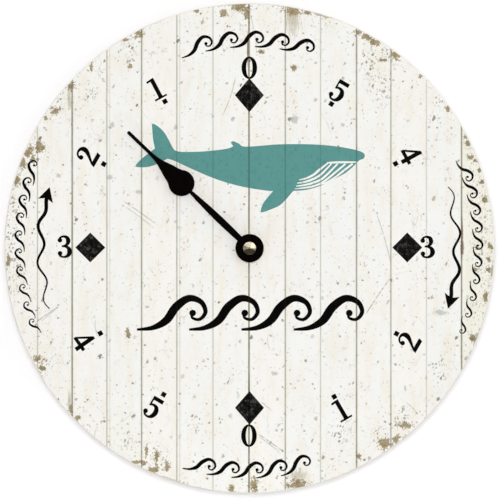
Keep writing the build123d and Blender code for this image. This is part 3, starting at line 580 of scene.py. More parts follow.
def penStroke(track, steps=8):
    # a pen line of changing width as a row of quads; a track row is x, z, width
    rows = curveThrough(track, steps)
    sides = []
    for index, (x, z, width) in enumerate(rows):
        before = rows[max(index - 1, 0)]
        after = rows[min(index + 1, len(rows) - 1)]
        length = hypot(after[0] - before[0], after[1] - before[1])
        nx = -(after[1] - before[1]) / length * width / 2
        nz = (after[0] - before[0]) / length * width / 2
        sides.append(((x + nx, z + nz), (x - nx, z - nz)))
    return [[a[0], a[1], b[1], b[0]] for a, b in zip(sides, sides[1:])]


# Numerals, drawn in a box 100 units high
def numeralZero():
    return [oval(34, 50, 35.5, 51.5, 48)], [oval(34, 50, 14.5, 43, 48)]


def numeralOne():
    stem = [(18, 3), (23, 8), (24, 16), (24, 92), (43, 100), (43, 16), (44, 8), (49, 3)]
    foot = [(3, -1), (63, -1), (63, 7.5), (3, 7.5)]
    flag = [(43, 101), (6, 97), (6, 88), (26, 89), (43, 94)]
    return [stem, foot, flag], []


def numeralTwo():
    track = [
        (8.5, 72, 13), (8, 83, 9), (17, 93, 9), (30, 96.5, 10), (43, 92, 15), (50, 80, 21.5),
        (48.5, 66, 21), (38.5, 49, 15.5), (24, 31, 11.5), (12, 16, 9), (6, 6, 8),
    ]
    base = [(0, -1), (63, -1), (68, 18), (9, 18)]
    return [*penStroke(track), oval(11, 72, 10.5, 10.5, 24), base], []


def numeralThree():
    upper = [
        (10, 80, 13), (12, 89, 10), (20, 95, 9), (31, 96, 11), (44, 90, 16.5), (49, 77, 20.5),
        (46, 64, 16), (36, 54.5, 11), (20, 51.5, 7),
    ]
    lower = [
        (20, 51.5, 7), (36, 50.5, 10), (50, 43, 16.5), (56, 28, 22.5), (51, 13, 18), (39, 4.5, 12),
        (26, 3, 9), (14, 7.5, 10), (11, 18, 14),
    ]
    balls = [oval(11, 79, 10.5, 10.5, 24), oval(12, 19, 10.5, 10.5, 24)]
    return [*penStroke(upper), *penStroke(lower), *balls], []


def numeralFour():
    stem = [(39, -1), (58, -1), (58, 101), (45, 101), (39, 90)]
    bar = [(0, 20), (73, 20), (73, 36), (3, 36)]
    slope = [(0, 20), (0, 31), (45, 101), (52, 92), (13, 34), (13, 20)]
    return [stem, bar, slope], []


def numeralFive():
    bar = [(12, 83), (64, 83), (64, 101), (12, 101)]
    post = [(12, 52), (20, 56), (20, 92), (12, 92)]
    track = [
        (15, 55, 7), (24, 61, 10), (35, 62, 13), (48, 55.5, 18.5), (54.5, 37, 22.5), (50, 17, 19.5),
        (39, 5.5, 13), (27, 3, 9.5), (15, 7, 10), (10, 18, 13),
    ]
    return [bar, post, *penStroke(track), oval(11, 21, 10.5, 10.5, 24)], []


numerals = {
    "height": 12.0,
    "middle": (34, 50),
    "shapes": [numeralZero, numeralOne, numeralTwo, numeralThree, numeralFour, numeralFive],
    # the hours left to high water on the left and to low water on the right: figure, x, z, turn
    "places": [
        (0, 0.3, 98.6, 0), (5, 49.2, 85.9, -30), (4, 88.2, 51.3, -61), (3, 98.0, 0.5, 0),
        (2, 87.9, -51.1, 60), (1, 50.7, -88.6, 30), (0, 0.1, -102.8, 0), (5, -52.4, -87.5, -30),
        (4, -90.8, -50.8, -55), (3, -100.7, 0.7, 0), (2, -88.2, 50.6, 60), (1, -50.6, 87.3, 28),
    ],
}


def makeNumerals():
    size = numerals["height"] / 100
    filled = []
    cutOut = []
    for figure, x, z, turn in numerals["places"]:
        shapes, holes = numerals["shapes"][figure]()
        for loops, target in ((shapes, filled), (holes, cutOut)):
            for loop in loops:
                centred = [(px - numerals["middle"][0], pz - numerals["middle"][1]) for px, pz in loop]
                target.append(placed(centred, x, z, turn, size))
    return inkSolid("dial_numerals", filled, cutOut)


def settle(piece, finish):
    # moves a mark built on the plane y = 0 onto the sheet, and hands it to its body
    for corner in piece.data.vertices:
        corner.co.x = corner.co.x * printPlace["size"] + printPlace["x"] * mm
        corner.co.y += sheetFront
        corner.co.z = corner.co.z * printPlace["size"] + printPlace["z"] * mm
    piece.data.update()
    wear(piece, finish)
    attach(piece, "clock")


settle(makeNumerals(), blackInk)
print("numerals printed")


# Geometry Nodes that repeat one mark on listed places, or along an arc
class Tree:
    def __init__(self, name, inputs):
        self.group = bpy.data.node_groups.new(name, "GeometryNodeTree")
        self.group.interface.new_socket("Geometry", in_out="INPUT", socket_type="NodeSocketGeometry")
        self.group.interface.new_socket("Geometry", in_out="OUTPUT", socket_type="NodeSocketGeometry")
        self.keys = {}
        for label, kind in inputs.items():
            socket = self.group.interface.new_socket(label, in_out="INPUT", socket_type="NodeSocket" + kind)
            self.keys[label] = socket.identifier
        self.source = self.group.nodes.new("NodeGroupInput")

    def given(self, label):
        return Value(self.group, self.source.outputs[label])

    def add(self, kind, settings=None, values=None, out=0):
        return addNode(self.group, kind, settings, values, out)

    def finish(self, geometry):
        # every tree ends in real geometry that carries its material
        real = self.add("GeometryNodeRealizeInstances", None, {"Geometry": geometry})
        values = {"Geometry": real, "Material": self.given("Material")}
        dressed = self.add("GeometryNodeSetMaterial", None, values)
        end = self.group.nodes.new("NodeGroupOutput")
        self.group.links.new(dressed.socket, end.inputs[0])

    def grow(self, name, values, mesh=None):
        # runs the tree once and keeps its result as a plain mesh
        carrier = newObject(name + "Carrier", mesh or bpy.data.meshes.new(name))
        modifier = carrier.modifiers.new("grow", "NODES")
        modifier.node_group = self.group
        for label, value in values.items():
            modifier[self.keys[label]] = value
        evaluated = carrier.evaluated_get(bpy.context.evaluated_depsgraph_get())
        result = bpy.data.meshes.new_from_object(evaluated)
        carrier.modifiers.clear()
        bpy.data.objects.remove(carrier)
        return newObject(name, result)


def placesTree():
    tree = Tree("markPlaces", {"Mark": "Object", "Material": "Material"})
    turn, stretch = (
        tree.add("GeometryNodeInputNamedAttribute", {"data_type": "FLOAT_VECTOR"}, {"Name": name})
        for name in ("turn", "stretch")
    )
    mark = tree.add("GeometryNodeObjectInfo", None, {"Object": tree.given("Mark")}, out="Geometry")
    points = tree.given("Geometry")
    values = {"Points": points, "Instance": mark, "Rotation": turn, "Scale": stretch}
    tree.finish(tree.add("GeometryNodeInstanceOnPoints", None, values))
    return tree


def pointCloud(name, rows):
    # a mesh of bare points; a row is x, z, turn in degrees, and the stretch across and along
    mesh = bpy.data.meshes.new(name)
    mesh.from_pydata([(x * mm, 0.0, z * mm) for x, z, *_ in rows], [], [])
    turn = mesh.attributes.new("turn", "FLOAT_VECTOR", "POINT")
    stretch = mesh.attributes.new("stretch", "FLOAT_VECTOR", "POINT")
    for index, (_, _, degrees, across, along) in enumerate(rows):
        turn.data[index].vector = (0.0, -radians(degrees), 0.0)
        stretch.data[index].vector = (across, 1.0, along)
    return mesh


stampTree = placesTree()
dots = {"side": 2.6, "places": [
    (-45.9, 80.2, 30), (-79.4, 45.9, 60), (45.2, 78.8, -30), (80.4, 46.1, -60),
    (80.9, -47.0, 60), (46.8, -81.5, 30), (-46.6, -80.3, -30), (-81.3, -46.8, -60),
]}
diamonds = {"half": 7.95, "places": [
    (0.3, 83.6, 1.0, 1.17), (86.8, 0.2, 1.03, 1.03), (0.4, -87.6, 1.0, 1.16), (-86.8, 0.2, 1.03, 1.03),
]}


def stampMarks(name, outline, rows, ink):
    # one printed mark, repeated on the listed places
    stamp = inkSolid(name + "_stamp", [outline])
    values = {"Mark": stamp, "Material": ink.material}
    settle(stampTree.grow(name, values, pointCloud(name + "_places", rows)), ink)
    bpy.data.objects.remove(stamp)


def stampDots():
    half = dots["side"] / 2
    square = [(-half, -half), (half, -half), (half, half), (-half, half)]
    stampMarks("dial_dots", square, [(x, z, turn, 1.0, 1.0) for x, z, turn in dots["places"]], blackInk)


def stampDiamonds():
    half = diamonds["half"]
    rows = [(x, z, 0.0, across, along) for x, z, across, along in diamonds["places"]]
    stampMarks("dial_diamonds", [(-half, 0), (0, -half), (half, 0), (0, half)], rows, diamondInk)


stampDots()
stampDiamonds()
print("dots and diamonds stamped")


# A plain whale in teal, the common nautical figure
whale = {
    "place": {"x": 1.2, "z": 43.0, "size": 1.0},
    # smooth stretches that meet in corners, round from the snout over the back
    "stretches": {
        "back": [(59.6, 5.2), (61.6, 5.9), (62.3, 7.7), (60.6, 9.5), (54.2, 11.3), (43.3, 13.0), (29.0, 13.8),
                 (14.0, 13.6), (-2.8, 12.4), (-6.6, 14.1), (-9.8, 15.4), (-11.1, 14.6)],
        "stock": [(-9.7, 12.7), (-12.0, 11.6), (-17.0, 10.7), (-27.9, 9.7), (-38.4, 9.6), (-41.8, 10.5)],
        "upperFluke": [(-42.6, 11.4), (-45.2, 16.4), (-47.4, 20.1), (-50.6, 23.3), (-53.6, 25.0),
                       (-54.3, 24.4)],
        "notch": [(-54.0, 21.3), (-53.6, 16.4), (-52.6, 11.4)],
        "lowerFluke": [(-55.0, 9.6), (-60.1, 5.6), (-63.0, 2.4), (-62.4, 1.3), (-56.5, 1.3), (-51.0, 3.1)],
        "belly": [(-45.6, 5.9), (-40.8, 4.2), (-33.4, 0.7), (-22.4, -4.1), (-11.5, -7.8), (-0.5, -10.3),
                  (10.6, -11.9)],
        "flipper": [(12.1, -11.9), (9.1, -15.4), (6.5, -18.9), (5.3, -22.8), (6.2, -23.5), (11.0, -21.9),
                    (15.9, -19.6), (19.2, -16.5)],
        "jaw": [(23.2, -11.8), (28.0, -11.5), (33.1, -10.6), (38.5, -8.8), (44.1, -6.0), (50.7, -2.6),
                (54.6, 0.3), (57.8, 3.4)],
    },
    # bare lines in the throat, each a row of x, z and width, and the mouth above them
    "grooves": [
        [(26.3, -5.8, 0.5), (30.5, -4.8, 1.05), (34.5, -2.8, 1.25), (37.4, -0.3, 1.25), (42.4, 3.6, 0.8)],
        [(25.3, -7.6, 0.5), (29.8, -6.8, 1.05), (34.5, -5.1, 1.2), (38.4, -2.7, 1.2), (44.1, 3.1, 0.8)],
        [(24.7, -9.2, 0.5), (29.8, -8.5, 1.05), (35.1, -7.0, 1.2), (39.8, -4.5, 1.2), (47.4, 3.0, 0.9)],
        [(24.0, -10.7, 0.4), (29.2, -10.1, 0.85), (34.5, -9.1, 1.05), (40.4, -6.3, 1.15), (51.7, 3.0, 1.0)],
        [(35.8, -8.8, 0.4), (40.4, -7.5, 0.75), (45.7, -4.6, 0.95), (50.4, -1.0, 1.15), (55.7, 3.1, 1.05)],
        [(41.6, 3.5, 0.8), (46.0, 3.8, 1.15), (52.0, 3.9, 1.15), (58.2, 4.0, 0.7)],
    ],
}


def makeWhale():
    place = whale["place"]
    outline = []
    for points in whale["stretches"].values():
        outline += curveThrough(points, 6)
    grooves = [loop for track in whale["grooves"] for loop in penStroke(track, 6)]
    return inkSolid("dial_whale", [placed(outline, **place)], [placed(loop, **place) for loop in grooves])


settle(makeWhale(), tealInk)
print("whale printed")


# Bands of running wave scrolls, and plain wavy arrows
def scrollWave():
    # one wave of a running scroll, about 10 wide and 6 high, curling over to the right
    crest = [
        (-6.2, 0.2, 0.35), (-3.6, 0.5, 0.8), (-1.4, 1.7, 1.3), (0.2, 3.9, 1.4), (2.3, 5.3, 1.15),
        (4.3, 4.7, 0.85), (5.0, 3.1, 0.7), (4.1, 1.9, 0.55), (2.9, 2.1, 0.45), (2.7, 3.0, 0.4),
    ]
    return inkSolid("waveStamp", penStroke(crest, 8) + [oval(2.9, 2.9, 0.55, 0.55, 16)])


def arcTree():
    tree = Tree("waveBand", {
        "Wave": "Object", "Material": "Material", "Count": "Int", "Radius": "Float", "From": "Float",
        "To": "Float", "First": "Float", "Last": "Float", "Facing": "Float",
    })
    values = {"Count": tree.given("Count"), "Offset": (0, 0, 0)}
    line = tree.add("GeometryNodeMeshLine", {"mode": "OFFSET"}, values)
    index = tree.add("GeometryNodeInputIndex")
    share = index / (tree.given("Count") - 1)
    turn = tree.given("From") + (tree.given("To") - tree.given("From")) * share
    x = turn.math("SINE") * tree.given("Radius")
    z = turn.math("COSINE") * tree.given("Radius")
    place = tree.add("ShaderNodeCombineXYZ", None, {0: x, 1: 0.0, 2: z})
    line = tree.add("GeometryNodeSetPosition", None, {"Geometry": line, "Position": place})
    size = tree.given("First") + (tree.given("Last") - tree.given("First")) * share
    facing = tree.add("ShaderNodeCombineXYZ", None, {0: 0.0, 1: turn + tree.given("Facing"), 2: 0.0})
    even = tree.add("ShaderNodeCombineXYZ", None, {0: size, 1: 1.0, 2: size})
    wave = tree.add("GeometryNodeObjectInfo", None, {"Object": tree.given("Wave")}, out="Geometry")
    values = {"Points": line, "Instance": wave, "Rotation": facing, "Scale": even}
    tree.finish(tree.add("GeometryNodeInstanceOnPoints", None, values))
    return tree


bands = {
    # number of waves, radius, first and last direction clockwise from the top, first and last size, facing
    "high_water_waves": (5, 109.5, -14.2, 14.0, 1.62, 1.62, 0.0),
    "low_water_waves": (5, 126.0, 192.4, 167.6, 1.55, 1.55, 180.0),
    "rising_waves": (10, 122.6, -110.0, -70.5, 0.82, 1.16, 0.0),
    "falling_waves": (10, 122.6, 70.5, 110.0, 1.16, 0.82, 0.0),
}
crestRow = {"waves": 4, "x": 2.4, "z": -45.4, "step": 28.6, "size": 3.35}


def makeBands():
    wave = scrollWave()
    tree = arcTree()
    for name, (count, radius, start, end, first, last, facing) in bands.items():
        values = {
            "Wave": wave, "Material": blackInk.material, "Count": count, "Radius": radius * mm,
            "From": radians(start), "To": radians(end), "First": first, "Last": last,
            "Facing": radians(facing),
        }
        settle(tree.grow(name, values), blackInk)
    size = crestRow["size"]
    middle = (crestRow["waves"] - 1) / 2
    rows = []
    for number in range(crestRow["waves"]):
        x = crestRow["x"] + (number - middle) * crestRow["step"]
        rows.append((x, crestRow["z"], 0.0, size, size))
    values = {"Mark": wave, "Material": blackInk.material}
    settle(stampTree.grow("dial_crest_waves", values, pointCloud("crest", rows)), blackInk)
    bpy.data.objects.remove(wave)


arrows = {
    # radius, tail and point directions clockwise from the top
    "rising_arrow": (114.0, -107.0, -73.0),
    "falling_arrow": (114.0, 73.0, 107.0),
}
arrowShape = {
    "width": 2.3, "thinShare": 0.25, "steps": 36, "ripple": 2.0, "ripples": 3, "calm": 6,
    "headLength": 8.0, "headHalf": 4.3, "notch": 1.8,
}


def makeArrow(name, radius, tail, point):
    track = []
    steps = arrowShape["steps"]
    thin = arrowShape["thinShare"]
    length = radians(point - tail) * radius
    shaft = 1 - (arrowShape["headLength"] - arrowShape["notch"]) / length
    for step in range(steps + 1):
        share = step / steps * shaft
        angle = radians(tail + (point - tail) * share)
        fade = min(1.0, (shaft - share) * arrowShape["calm"])
        reach = radius + arrowShape["ripple"] * sin(2 * pi * arrowShape["ripples"] * step / steps) * fade
        width = arrowShape["width"] * (thin + (1 - thin) * share)
        track.append((reach * sin(angle), reach * cos(angle), width))
    half = arrowShape["headHalf"]
    long = arrowShape["headLength"]
    head = [(0.0, 0.0), (-half, -long), (0.0, arrowShape["notch"] - long), (half, -long)]
    angle = radians(point)
    head = placed(head, radius * sin(angle), radius * cos(angle), -point - 90)
    return inkSolid(name, [*penStroke(track, 2), head])


makeBands()
for name, (radius, tail, point) in arrows.items():
    settle(makeArrow(name, radius, tail, point), blackInk)
print("waves and arrows printed")


# Finishes of the solid pieces
def makeFibreboard():
    # pressed fibre with a white coat on the face
    finish = Finish("fibreboard", Specular_IOR_Level=0.3)
    fibre = finish.noise(1.1, None, 7.0, 0.7, 0.4)
    strands = finish.noise(3.0, None, 3.0, 0.6, 1.2)
    colour = finish.mix(finish.smooth(fibre, 0.35, 0.68), tone(120, 88, 58), tone(164, 128, 90))
    colour = finish.mix(finish.smooth(strands, 0.62, 0.74) * 0.6, colour, tone(196, 168, 130))
    colour = finish.mix(finish.smooth(strands, 0.36, 0.28) * 0.5, colour, tone(84, 60, 40))
    face = -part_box("dial_board")[0].y / mm
    coat = finish.smooth(finish.y * -1 + (fibre - 0.5) * 0.1, face - 0.5, face - 0.4)
    colour = finish.mix(coat, colour, tone(240, 238, 232))
    finish.surface(colour, finish.between(fibre, 0.62, 0.85) - coat * 0.25, fibre + strands * 0.4, 0.08)
    return finish


plastics = {
    # name: main and second tone, roughness, grain per mm, its depth in mm, and gloss
    "casePlastic": (tone(34, 34, 35), tone(27, 27, 28), 0.52, 5.0, 0.03, 0.45),
    "knobPlastic": (tone(44, 44, 46), tone(34, 34, 36), 0.42, 6.0, 0.015, 0.45),
    "blackRubber": (tone(36, 36, 36), tone(28, 28, 28), 0.78, 3.0, 0.03, 0.3),
    "whiteAcetal": (tone(232, 230, 220), tone(222, 219, 206), 0.38, 4.0, 0.006, 0.45),
    "bobbinPlastic": (tone(214, 202, 172), tone(200, 186, 152), 0.42, 4.0, 0.008, 0.45),
    "blackResin": (tone(24, 24, 24), tone(18, 18, 18), 0.24, 1.5, 0.02, 0.45),
    "ferrite": (tone(74, 75, 78), tone(58, 58, 62), 0.55, 7.0, 0.02, 0.45),
}


def makePlastic(name, colour, shade, rough, grain, depth, gloss):
    # moulded plastic: a fine etched grain, faint flow clouds and a little dust
    finish = Finish(name, Specular_IOR_Level=gloss)
    etched = finish.noise(grain, None, 4.0, 0.65)
    flow = finish.noise(0.12, None, 3.0, 0.5, 0.8)
    dust = finish.smooth(finish.noise(2.0, None, 5.0, 0.75), 0.62, 0.78)
    painted = finish.mix(finish.smooth(flow, 0.3, 0.7), colour, shade)
    painted = finish.mix(dust * 0.25, painted, tone(150, 146, 138))
    finish.surface(painted, finish.between(etched, rough - 0.08, rough + 0.08) + dust * 0.1, etched, depth)
    return finish


turnedMetals = {
    # name: main and second tone, and roughness
    "brass": (tone(206, 180, 124), tone(184, 156, 104), 0.29),
    "arborSteel": (tone(204, 205, 208), tone(180, 181, 186), 0.2),
}
rolledMetals = {
    "zincSteel": (tone(196, 199, 203), tone(168, 172, 178), 0.34),
    "contactSteel": (tone(212, 210, 202), tone(190, 187, 178), 0.26),
    "softIron": (tone(168, 168, 170), tone(140, 140, 143), 0.4),
    "crystalCan": (tone(216, 218, 222), tone(196, 198, 204), 0.24),
}


def makeTurned(name, colour, shade, rough):
    # metal turned on the hand's axis, with fine tool rings
    finish = Finish(name, Metallic=1.0)
    rings = finish.noise(1.0, finish.join(finish.fromAxis() * 9.0, finish.y * 9.0, 0.0), 3.0, 0.6)
    stain = finish.noise(0.5, None, 5.0, 0.6)
    stained = finish.mix(finish.smooth(stain, 0.4, 0.7), colour, shade)
    finish.surface(stained, finish.between(rings, rough - 0.07, rough + 0.09), rings, 0.012, 0.6)
    return finish


def makeRolled(name, colour, shade, rough):
    # rolled and plated sheet: brush lines along one way, and cloudy plating
    finish = Finish(name, Metallic=1.0)
    brushed = finish.noise(6.0, finish.join(finish.x * 0.05, finish.y, finish.z), 3.0, 0.6)
    plating = finish.noise(0.35, None, 5.0, 0.65, 0.6)
    plated = finish.mix(finish.smooth(plating, 0.35, 0.7), colour, shade)
    finish.surface(plated, finish.between(brushed, rough - 0.08, rough + 0.1), brushed, 0.01)
    return finish


def makeEnamel():
    # sprayed black coat with a slight skin, and faint brown patches painted in as a warm sheen
    finish = Finish("blackEnamel", Specular_IOR_Level=0.02)
    skin = finish.noise(2.2, None, 3.0, 0.5)
    brownSheen = finish.smooth(finish.noise(0.3, None, 6.0, 0.7), 0.5, 0.75)
    # painted sheen: faint brown patches in the black coat stand in for a warm sheen
    colour = finish.mix(brownSheen * 0.4, tone(3, 1, 1), tone(19, 10, 7))
    finish.surface(colour, finish.between(skin, 0.46, 0.58) + brownSheen * 0.06, skin, 0.015)
    return finish


def makeCapMetal():
    # a warm polished cap with soft turning rings
    finish = Finish("warmSteel", Metallic=1.0)
    rings = finish.noise(1.0, finish.join(finish.fromAxis() * 6.0, 0.0, 0.0), 3.0, 0.6)
    stain = finish.noise(0.45, None, 4.0, 0.6)
    colour = finish.mix(finish.smooth(stain, 0.4, 0.65), tone(146, 138, 120), tone(130, 122, 108))
    finish.surface(colour, finish.between(rings, 0.20, 0.28), rings, 0.008)
    return finish


def makeCopper():
    # fine enamelled wire, wound side by side along the coil, with painted shade between the turns
    finish = Finish("copperWire", Metallic=1.0)
    turnsAndShade = (finish.z * 28.0).math("SINE") * 0.5 + 0.5
    uneven = finish.noise(0.8, None, 3.0)
    # painted shade and highlight: darker between the turns and lighter on each turn's crown
    colour = finish.mix(turnsAndShade * 0.6, tone(150, 76, 40), tone(214, 128, 78))
    finish.surface(colour, finish.between(uneven, 0.25, 0.42), turnsAndShade + uneven, 0.03, 0.8)
    return finish


def makeCircuit():
    # green mask over copper tracks
    finish = Finish("circuitResin", Specular_IOR_Level=0.5)
    edges = finish.cells(1.0, finish.join(finish.x * 0.35, finish.z * 0.6, 0.0), "DISTANCE_TO_EDGE")
    track = 1 - finish.smooth(edges, 0.05, 0.09)
    cloth = finish.noise(2.5, None, 3.0)
    colour = finish.mix(track * 0.7, tone(24, 92, 48), tone(52, 128, 66))
    colour = finish.mix(cloth * 0.2, colour, tone(16, 70, 40))
    finish.surface(colour, finish.between(cloth, 0.26, 0.4), track, 0.02, 0.6)
    return finish


def makeJacket():
    # a plain metallic sleeve that stops short of the bare steel ends
    finish = Finish("batteryJacket", Metallic=1.0)
    low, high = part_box("battery")
    left = finish.smooth(finish.x, low.x / mm + 2.3, low.x / mm + 2.5)
    right = finish.smooth(finish.x, high.x / mm - 0.6, high.x / mm - 0.8)
    sleeve = left * right
    cap = finish.smooth(finish.x, low.x / mm + 13.0, low.x / mm + 13.1)
    foil = finish.noise(2.0, finish.join(finish.x * 0.1, finish.y, finish.z), 3.0)
    wrap = finish.mix(cap, tone(186, 190, 192), tone(46, 84, 104))
    wrap = finish.mix(foil * 0.25, wrap, tone(24, 30, 34))
    colour = finish.mix(sleeve, tone(196, 194, 188), wrap)
    finish.surface(colour, finish.between(foil, 0.24, 0.36), foil + sleeve * 2.0, 0.02, 0.4)
    return finish


finishes = {name: makePlastic(name, *row) for name, row in plastics.items()}
finishes.update({name: makeTurned(name, *row) for name, row in turnedMetals.items()})
finishes.update({name: makeRolled(name, *row) for name, row in rolledMetals.items()})
others = {
    "warmSteel": makeCapMetal, "blackEnamel": makeEnamel, "fibreboard": makeFibreboard,
    "copperWire": makeCopper, "circuitResin": makeCircuit, "batteryJacket": makeJacket,
}
finishes.update({name: make() for name, make in others.items()})

dressing = {
    "fibreboard": ["dial_board"],
    "casePlastic": ["movement_case", "back_cover"],
    "knobPlastic": ["setting_knob"],
    "blackRubber": ["rubber_washer"],
    "whiteAcetal": ["tide_wheel", "reduction_wheel", "setting_pinion", "centre_wheel", "third_wheel",
                    "fourth_wheel", "fifth_wheel", "rotor_pinion"],
    "bobbinPlastic": ["coil_bobbin"],
    "blackResin": ["chip_cover"],
    "ferrite": ["rotor_magnet"],
    "brass": ["bush", "brass_washer", "hex_nut", "hand_collet", "tide_arbor", "clutch_spring"],
    "arborSteel": ["centre_pinion"],
    "zincSteel": ["cover_screws", "hanger"],
    "contactSteel": ["contact_plus", "contact_minus"],
    "softIron": ["stator", "coil_core"],
    "crystalCan": ["quartz_crystal"],
    "warmSteel": ["cap_nut"],
    "blackEnamel": ["hand"],
    "copperWire": ["coil_winding"],
    "circuitResin": ["circuit_board"],
    "batteryJacket": ["battery"],
}
for name, pieces in dressing.items():
    for piece in pieces:
        wear(nodes[piece], finishes[name])
print("finishes given to", sum(len(pieces) for pieces in dressing.values()) + 1, "nodes")


# Pieces shown as copies with their sharp edges eased, as stamping, turning and moulding leave them
eased = {
    # node: finish, slot, body, width of the round in mm, its steps, and the angle it starts from in degrees
    "hand": ("blackEnamel", "black_enamel", "tide_hand", 0.12, 2, 50.0),
    "cap_nut": ("warmSteel", "warm_steel", "tide_hand", 0.45, 4, 28.0),
    "movement_case": ("casePlastic", "black_plastic", "clock", 0.18, 2, 50.0),
    "back_cover": ("casePlastic", "black_plastic", "clock", 0.14, 2, 50.0),
    "hanger": ("zincSteel", "zinc_steel", "clock", 0.14, 2, 50.0),
    "setting_knob": ("knobPlastic", "knob_plastic", "setting_gear", 0.16, 2, 50.0),
}


# Corners this near in mm are merged, faces this flat in degrees are joined, and sharper edges stay sharp
easing = {"merge": 0.0005, "flat": 0.5, "sharp": 34.0}


def ease(name, finishName, slotName, body, width, steps, startAngle):
    shape = bmesh.new()
    shape.from_mesh(nodes[name].data)
    bmesh.ops.remove_doubles(shape, verts=shape.verts, dist=easing["merge"] * mm)
    flat = radians(easing["flat"])
    bmesh.ops.dissolve_limit(shape, angle_limit=flat, verts=shape.verts, edges=shape.edges)
    mesh = bpy.data.meshes.new(name + "_eased")
    shape.to_mesh(mesh)
    shape.free()
    mesh.shade_smooth()
    mesh.set_sharp_from_angle(angle=radians(min(startAngle, easing["sharp"])))
    piece = newObject(name + "_eased", mesh)
    bevel = piece.modifiers.new("ease", "BEVEL")
    bevel.width = width * mm
    bevel.segments = steps
    bevel.limit_method = "ANGLE"
    bevel.angle_limit = radians(startAngle)
    bevel.harden_normals = True
    wear(piece, finishes[finishName])
    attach(piece, body)
    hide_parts(name)


for name, row in eased.items():
    ease(name, *row)
print("edges eased on", len(eased), "pieces")


# Camera square to the dial, as far back as the photograph looks flat
camera = {"distance": 2.2, "across": 272.06, "lookX": 0.218, "lookZ": -0.707, "sensor": 36.0,
          "near": 0.05, "far": 50.0}


def makeCamera():
    lens = bpy.data.cameras.new("camera")
    lens.sensor_width = camera["sensor"]
    lens.lens = camera["sensor"] * camera["distance"] / (camera["across"] * mm)
    lens.clip_start = camera["near"]
    lens.clip_end = camera["far"]
    eye = newObject("camera", lens)
    eye.location = (camera["lookX"] * mm, sheetFront - camera["distance"], camera["lookZ"] * mm)
    eye.rotation_euler = (pi / 2, 0.0, 0.0)
    scene.camera = eye


# Stage: a wall close behind and a pale floor below, both clear from their hidden side
stage = {
    "wallPlace": 0.0006, "wallHalf": 0.8, "wallPaint": (0.9, 0.92, 0.94, 1.0), "wallGlow": 0.17,
    "floorDrop": 0.03, "floorHalf": 8.0, "floorPaint": (0.85, 0.85, 0.85, 1.0), "floorGlow": 0.32,
    "glow": 2.1, "ambient": 0.2, "world": tone(255, 255, 255), "opening": 0.152,
    "paperScale": 40.0, "paperRough": (0.55, 0.75),
    # the dark card: half its width, its near and far edge, its height over the floor and its tone
    "card": (0.5, -1.0, -0.02), "cardLift": 0.004, "cardTone": tone(112, 108, 98),
}


def looking(tree):
    # 1 where the camera, a gloss or glass looks, and 0 for the rays that light the object
    names = ("Is Camera Ray", "Is Glossy Ray", "Is Transmission Ray")
    eye, gloss, glass = (addNode(tree, "ShaderNodeLightPath", out=name) for name in names)
    return eye.math("MAXIMUM", gloss).math("MAXIMUM", glass)


def backdropFinish(name, paint, glowShare, passShadows):
    material = bpy.data.materials.new(name)
    material.use_nodes = True
    tree = material.node_tree
    tree.nodes.clear()
    low, high = stage["paperRough"]
    grain = addNode(tree, "ShaderNodeTexNoise", None, {"Scale": stage["paperScale"], "Detail": 3.0})
    paper = addNode(tree, "ShaderNodeMapRange", None, {"Value": grain, "To Min": low, "To Max": high})
    matt = addNode(tree, "ShaderNodeBsdfDiffuse", None, {"Color": paint, "Roughness": paper})
    glow = addNode(tree, "ShaderNodeEmission", None, {"Color": stage["world"], "Strength": stage["glow"]})
    lit = addNode(tree, "ShaderNodeMixShader", None, {0: looking(tree) * glowShare, 1: matt, 2: glow})
    hidden = addNode(tree, "ShaderNodeNewGeometry", out="Backfacing")
    if passShadows:
        # the lamps behind the wall reach the clock's back, and nothing else before the wall
        place = addNode(tree, "ShaderNodeNewGeometry", out="Position")
        reach = addNode(tree, "ShaderNodeVectorMath", {"operation": "LENGTH"}, {0: place}, "Value")
        shadowRay = addNode(tree, "ShaderNodeLightPath", out="Is Shadow Ray")
        hidden = hidden.math("MAXIMUM", (reach < stage["opening"]) * shadowRay)
    clear = addNode(tree, "ShaderNodeBsdfTransparent")
    both = addNode(tree, "ShaderNodeMixShader", None, {0: hidden, 1: lit, 2: clear})
    end = tree.nodes.new("ShaderNodeOutputMaterial")
    tree.links.new(both.socket, end.inputs["Surface"])
    return material


def makeBackdrop(name, corners, material):
    mesh = bpy.data.meshes.new(name)
    mesh.from_pydata(corners, [], [tuple(range(len(corners)))])
    mesh.materials.append(material)
    sheet = newObject(name, mesh)
    return sheet


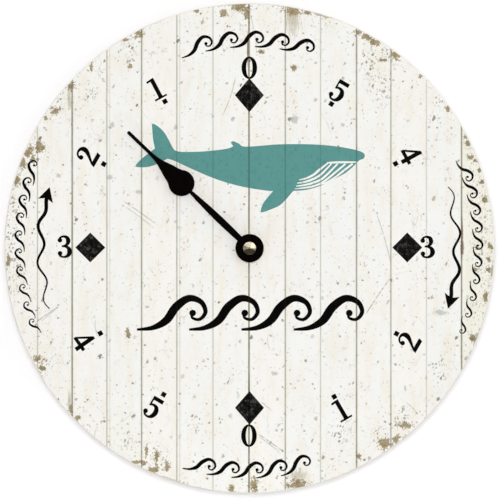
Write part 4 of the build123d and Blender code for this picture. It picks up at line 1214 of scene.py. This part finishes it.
def makeStage():
    floor = cadLow.z - stage["floorDrop"]
    half = stage["wallHalf"]
    wall = [(-half, floor), (half, floor), (half, floor + 2 * half), (-half, floor + 2 * half)]
    corners = [(x, stage["wallPlace"], z) for x, z in wall]
    makeBackdrop("wall", corners, backdropFinish("wallPaint", stage["wallPaint"], stage["wallGlow"], True))
    far = stage["floorHalf"]
    corners = [(-far, -far, floor), (far, -far, floor), (far, far, floor), (-far, far, floor)]
    floorFinish = backdropFinish("floorPaint", stage["floorPaint"], stage["floorGlow"], False)
    makeBackdrop("floor", corners, floorFinish)
    # a dark card under the dial that only gloss shows, which gives the polished cap its dark half
    wide, near, close = stage["card"]
    level = floor + stage["cardLift"]
    corners = [(-wide, near, level), (wide, near, level), (wide, close, level), (-wide, close, level)]
    black = (0.0, 0.0, 0.0, 1.0)
    glowing = {"Emission_Color": stage["cardTone"], "Emission_Strength": 1.0}
    dark = Finish("cardPaint", Base_Color=black, Specular_IOR_Level=0.0, **glowing)
    card = makeBackdrop("darkCard", corners, dark.material)
    for ray in ("camera", "diffuse", "shadow", "transmission"):
        setattr(card, "visible_" + ray, False)


lamps = {
    # place, size in metres, power in watts: three before the dial, two white cards for metal, two behind
    "key": ((-0.02, -2.3, 0.12), 0.40, 27.3),
    "fill": ((1.3, -1.9, 0.5), 1.4, 4.5),
    "top": ((0.2, -0.9, 2.0), 0.8, 4.0),
    "cardRight": ((0.71, -0.25, 0.50), 1.2, 12.5),
    "cardLeft": ((-0.43, -0.25, 0.75), 1.0, 5.6),
    "rearLeft": ((-1.3, 1.9, 0.9), 1.0, 26.0),
    "rearRight": ((1.4, 1.8, 0.7), 1.2, 18.0),
}


def makeLamps():
    for name, (place, size, power) in lamps.items():
        lamp = bpy.data.lights.new(name, "AREA")
        lamp.shape = "DISK"
        lamp.size = size
        lamp.energy = power
        holder = newObject(name, lamp)
        holder.location = place
        holder.rotation_euler = (-Vector(place)).to_track_quat("-Z", "Y").to_euler()
        holder.visible_glossy = name != "key"  # beside the camera, so it lights without a sheen
        holder.visible_diffuse = "card" not in name  # only metal and gloss show the cards
        holder.visible_camera = False


def makeWorld():
    # soft ambient light, and plain white where the camera or a gloss looks past everything
    world = bpy.data.worlds.new("studio")
    world.use_nodes = True
    tree = world.node_tree
    sky = tree.nodes["Background"]
    plug(tree, sky.inputs["Color"], stage["world"])
    plug(tree, sky.inputs["Strength"], looking(tree) * (1 - stage["ambient"]) + stage["ambient"])
    scene.world = world


makeCamera()
makeStage()
makeLamps()
makeWorld()
scene.view_settings.view_transform = "Standard"
print("camera, stage and lamps placed")
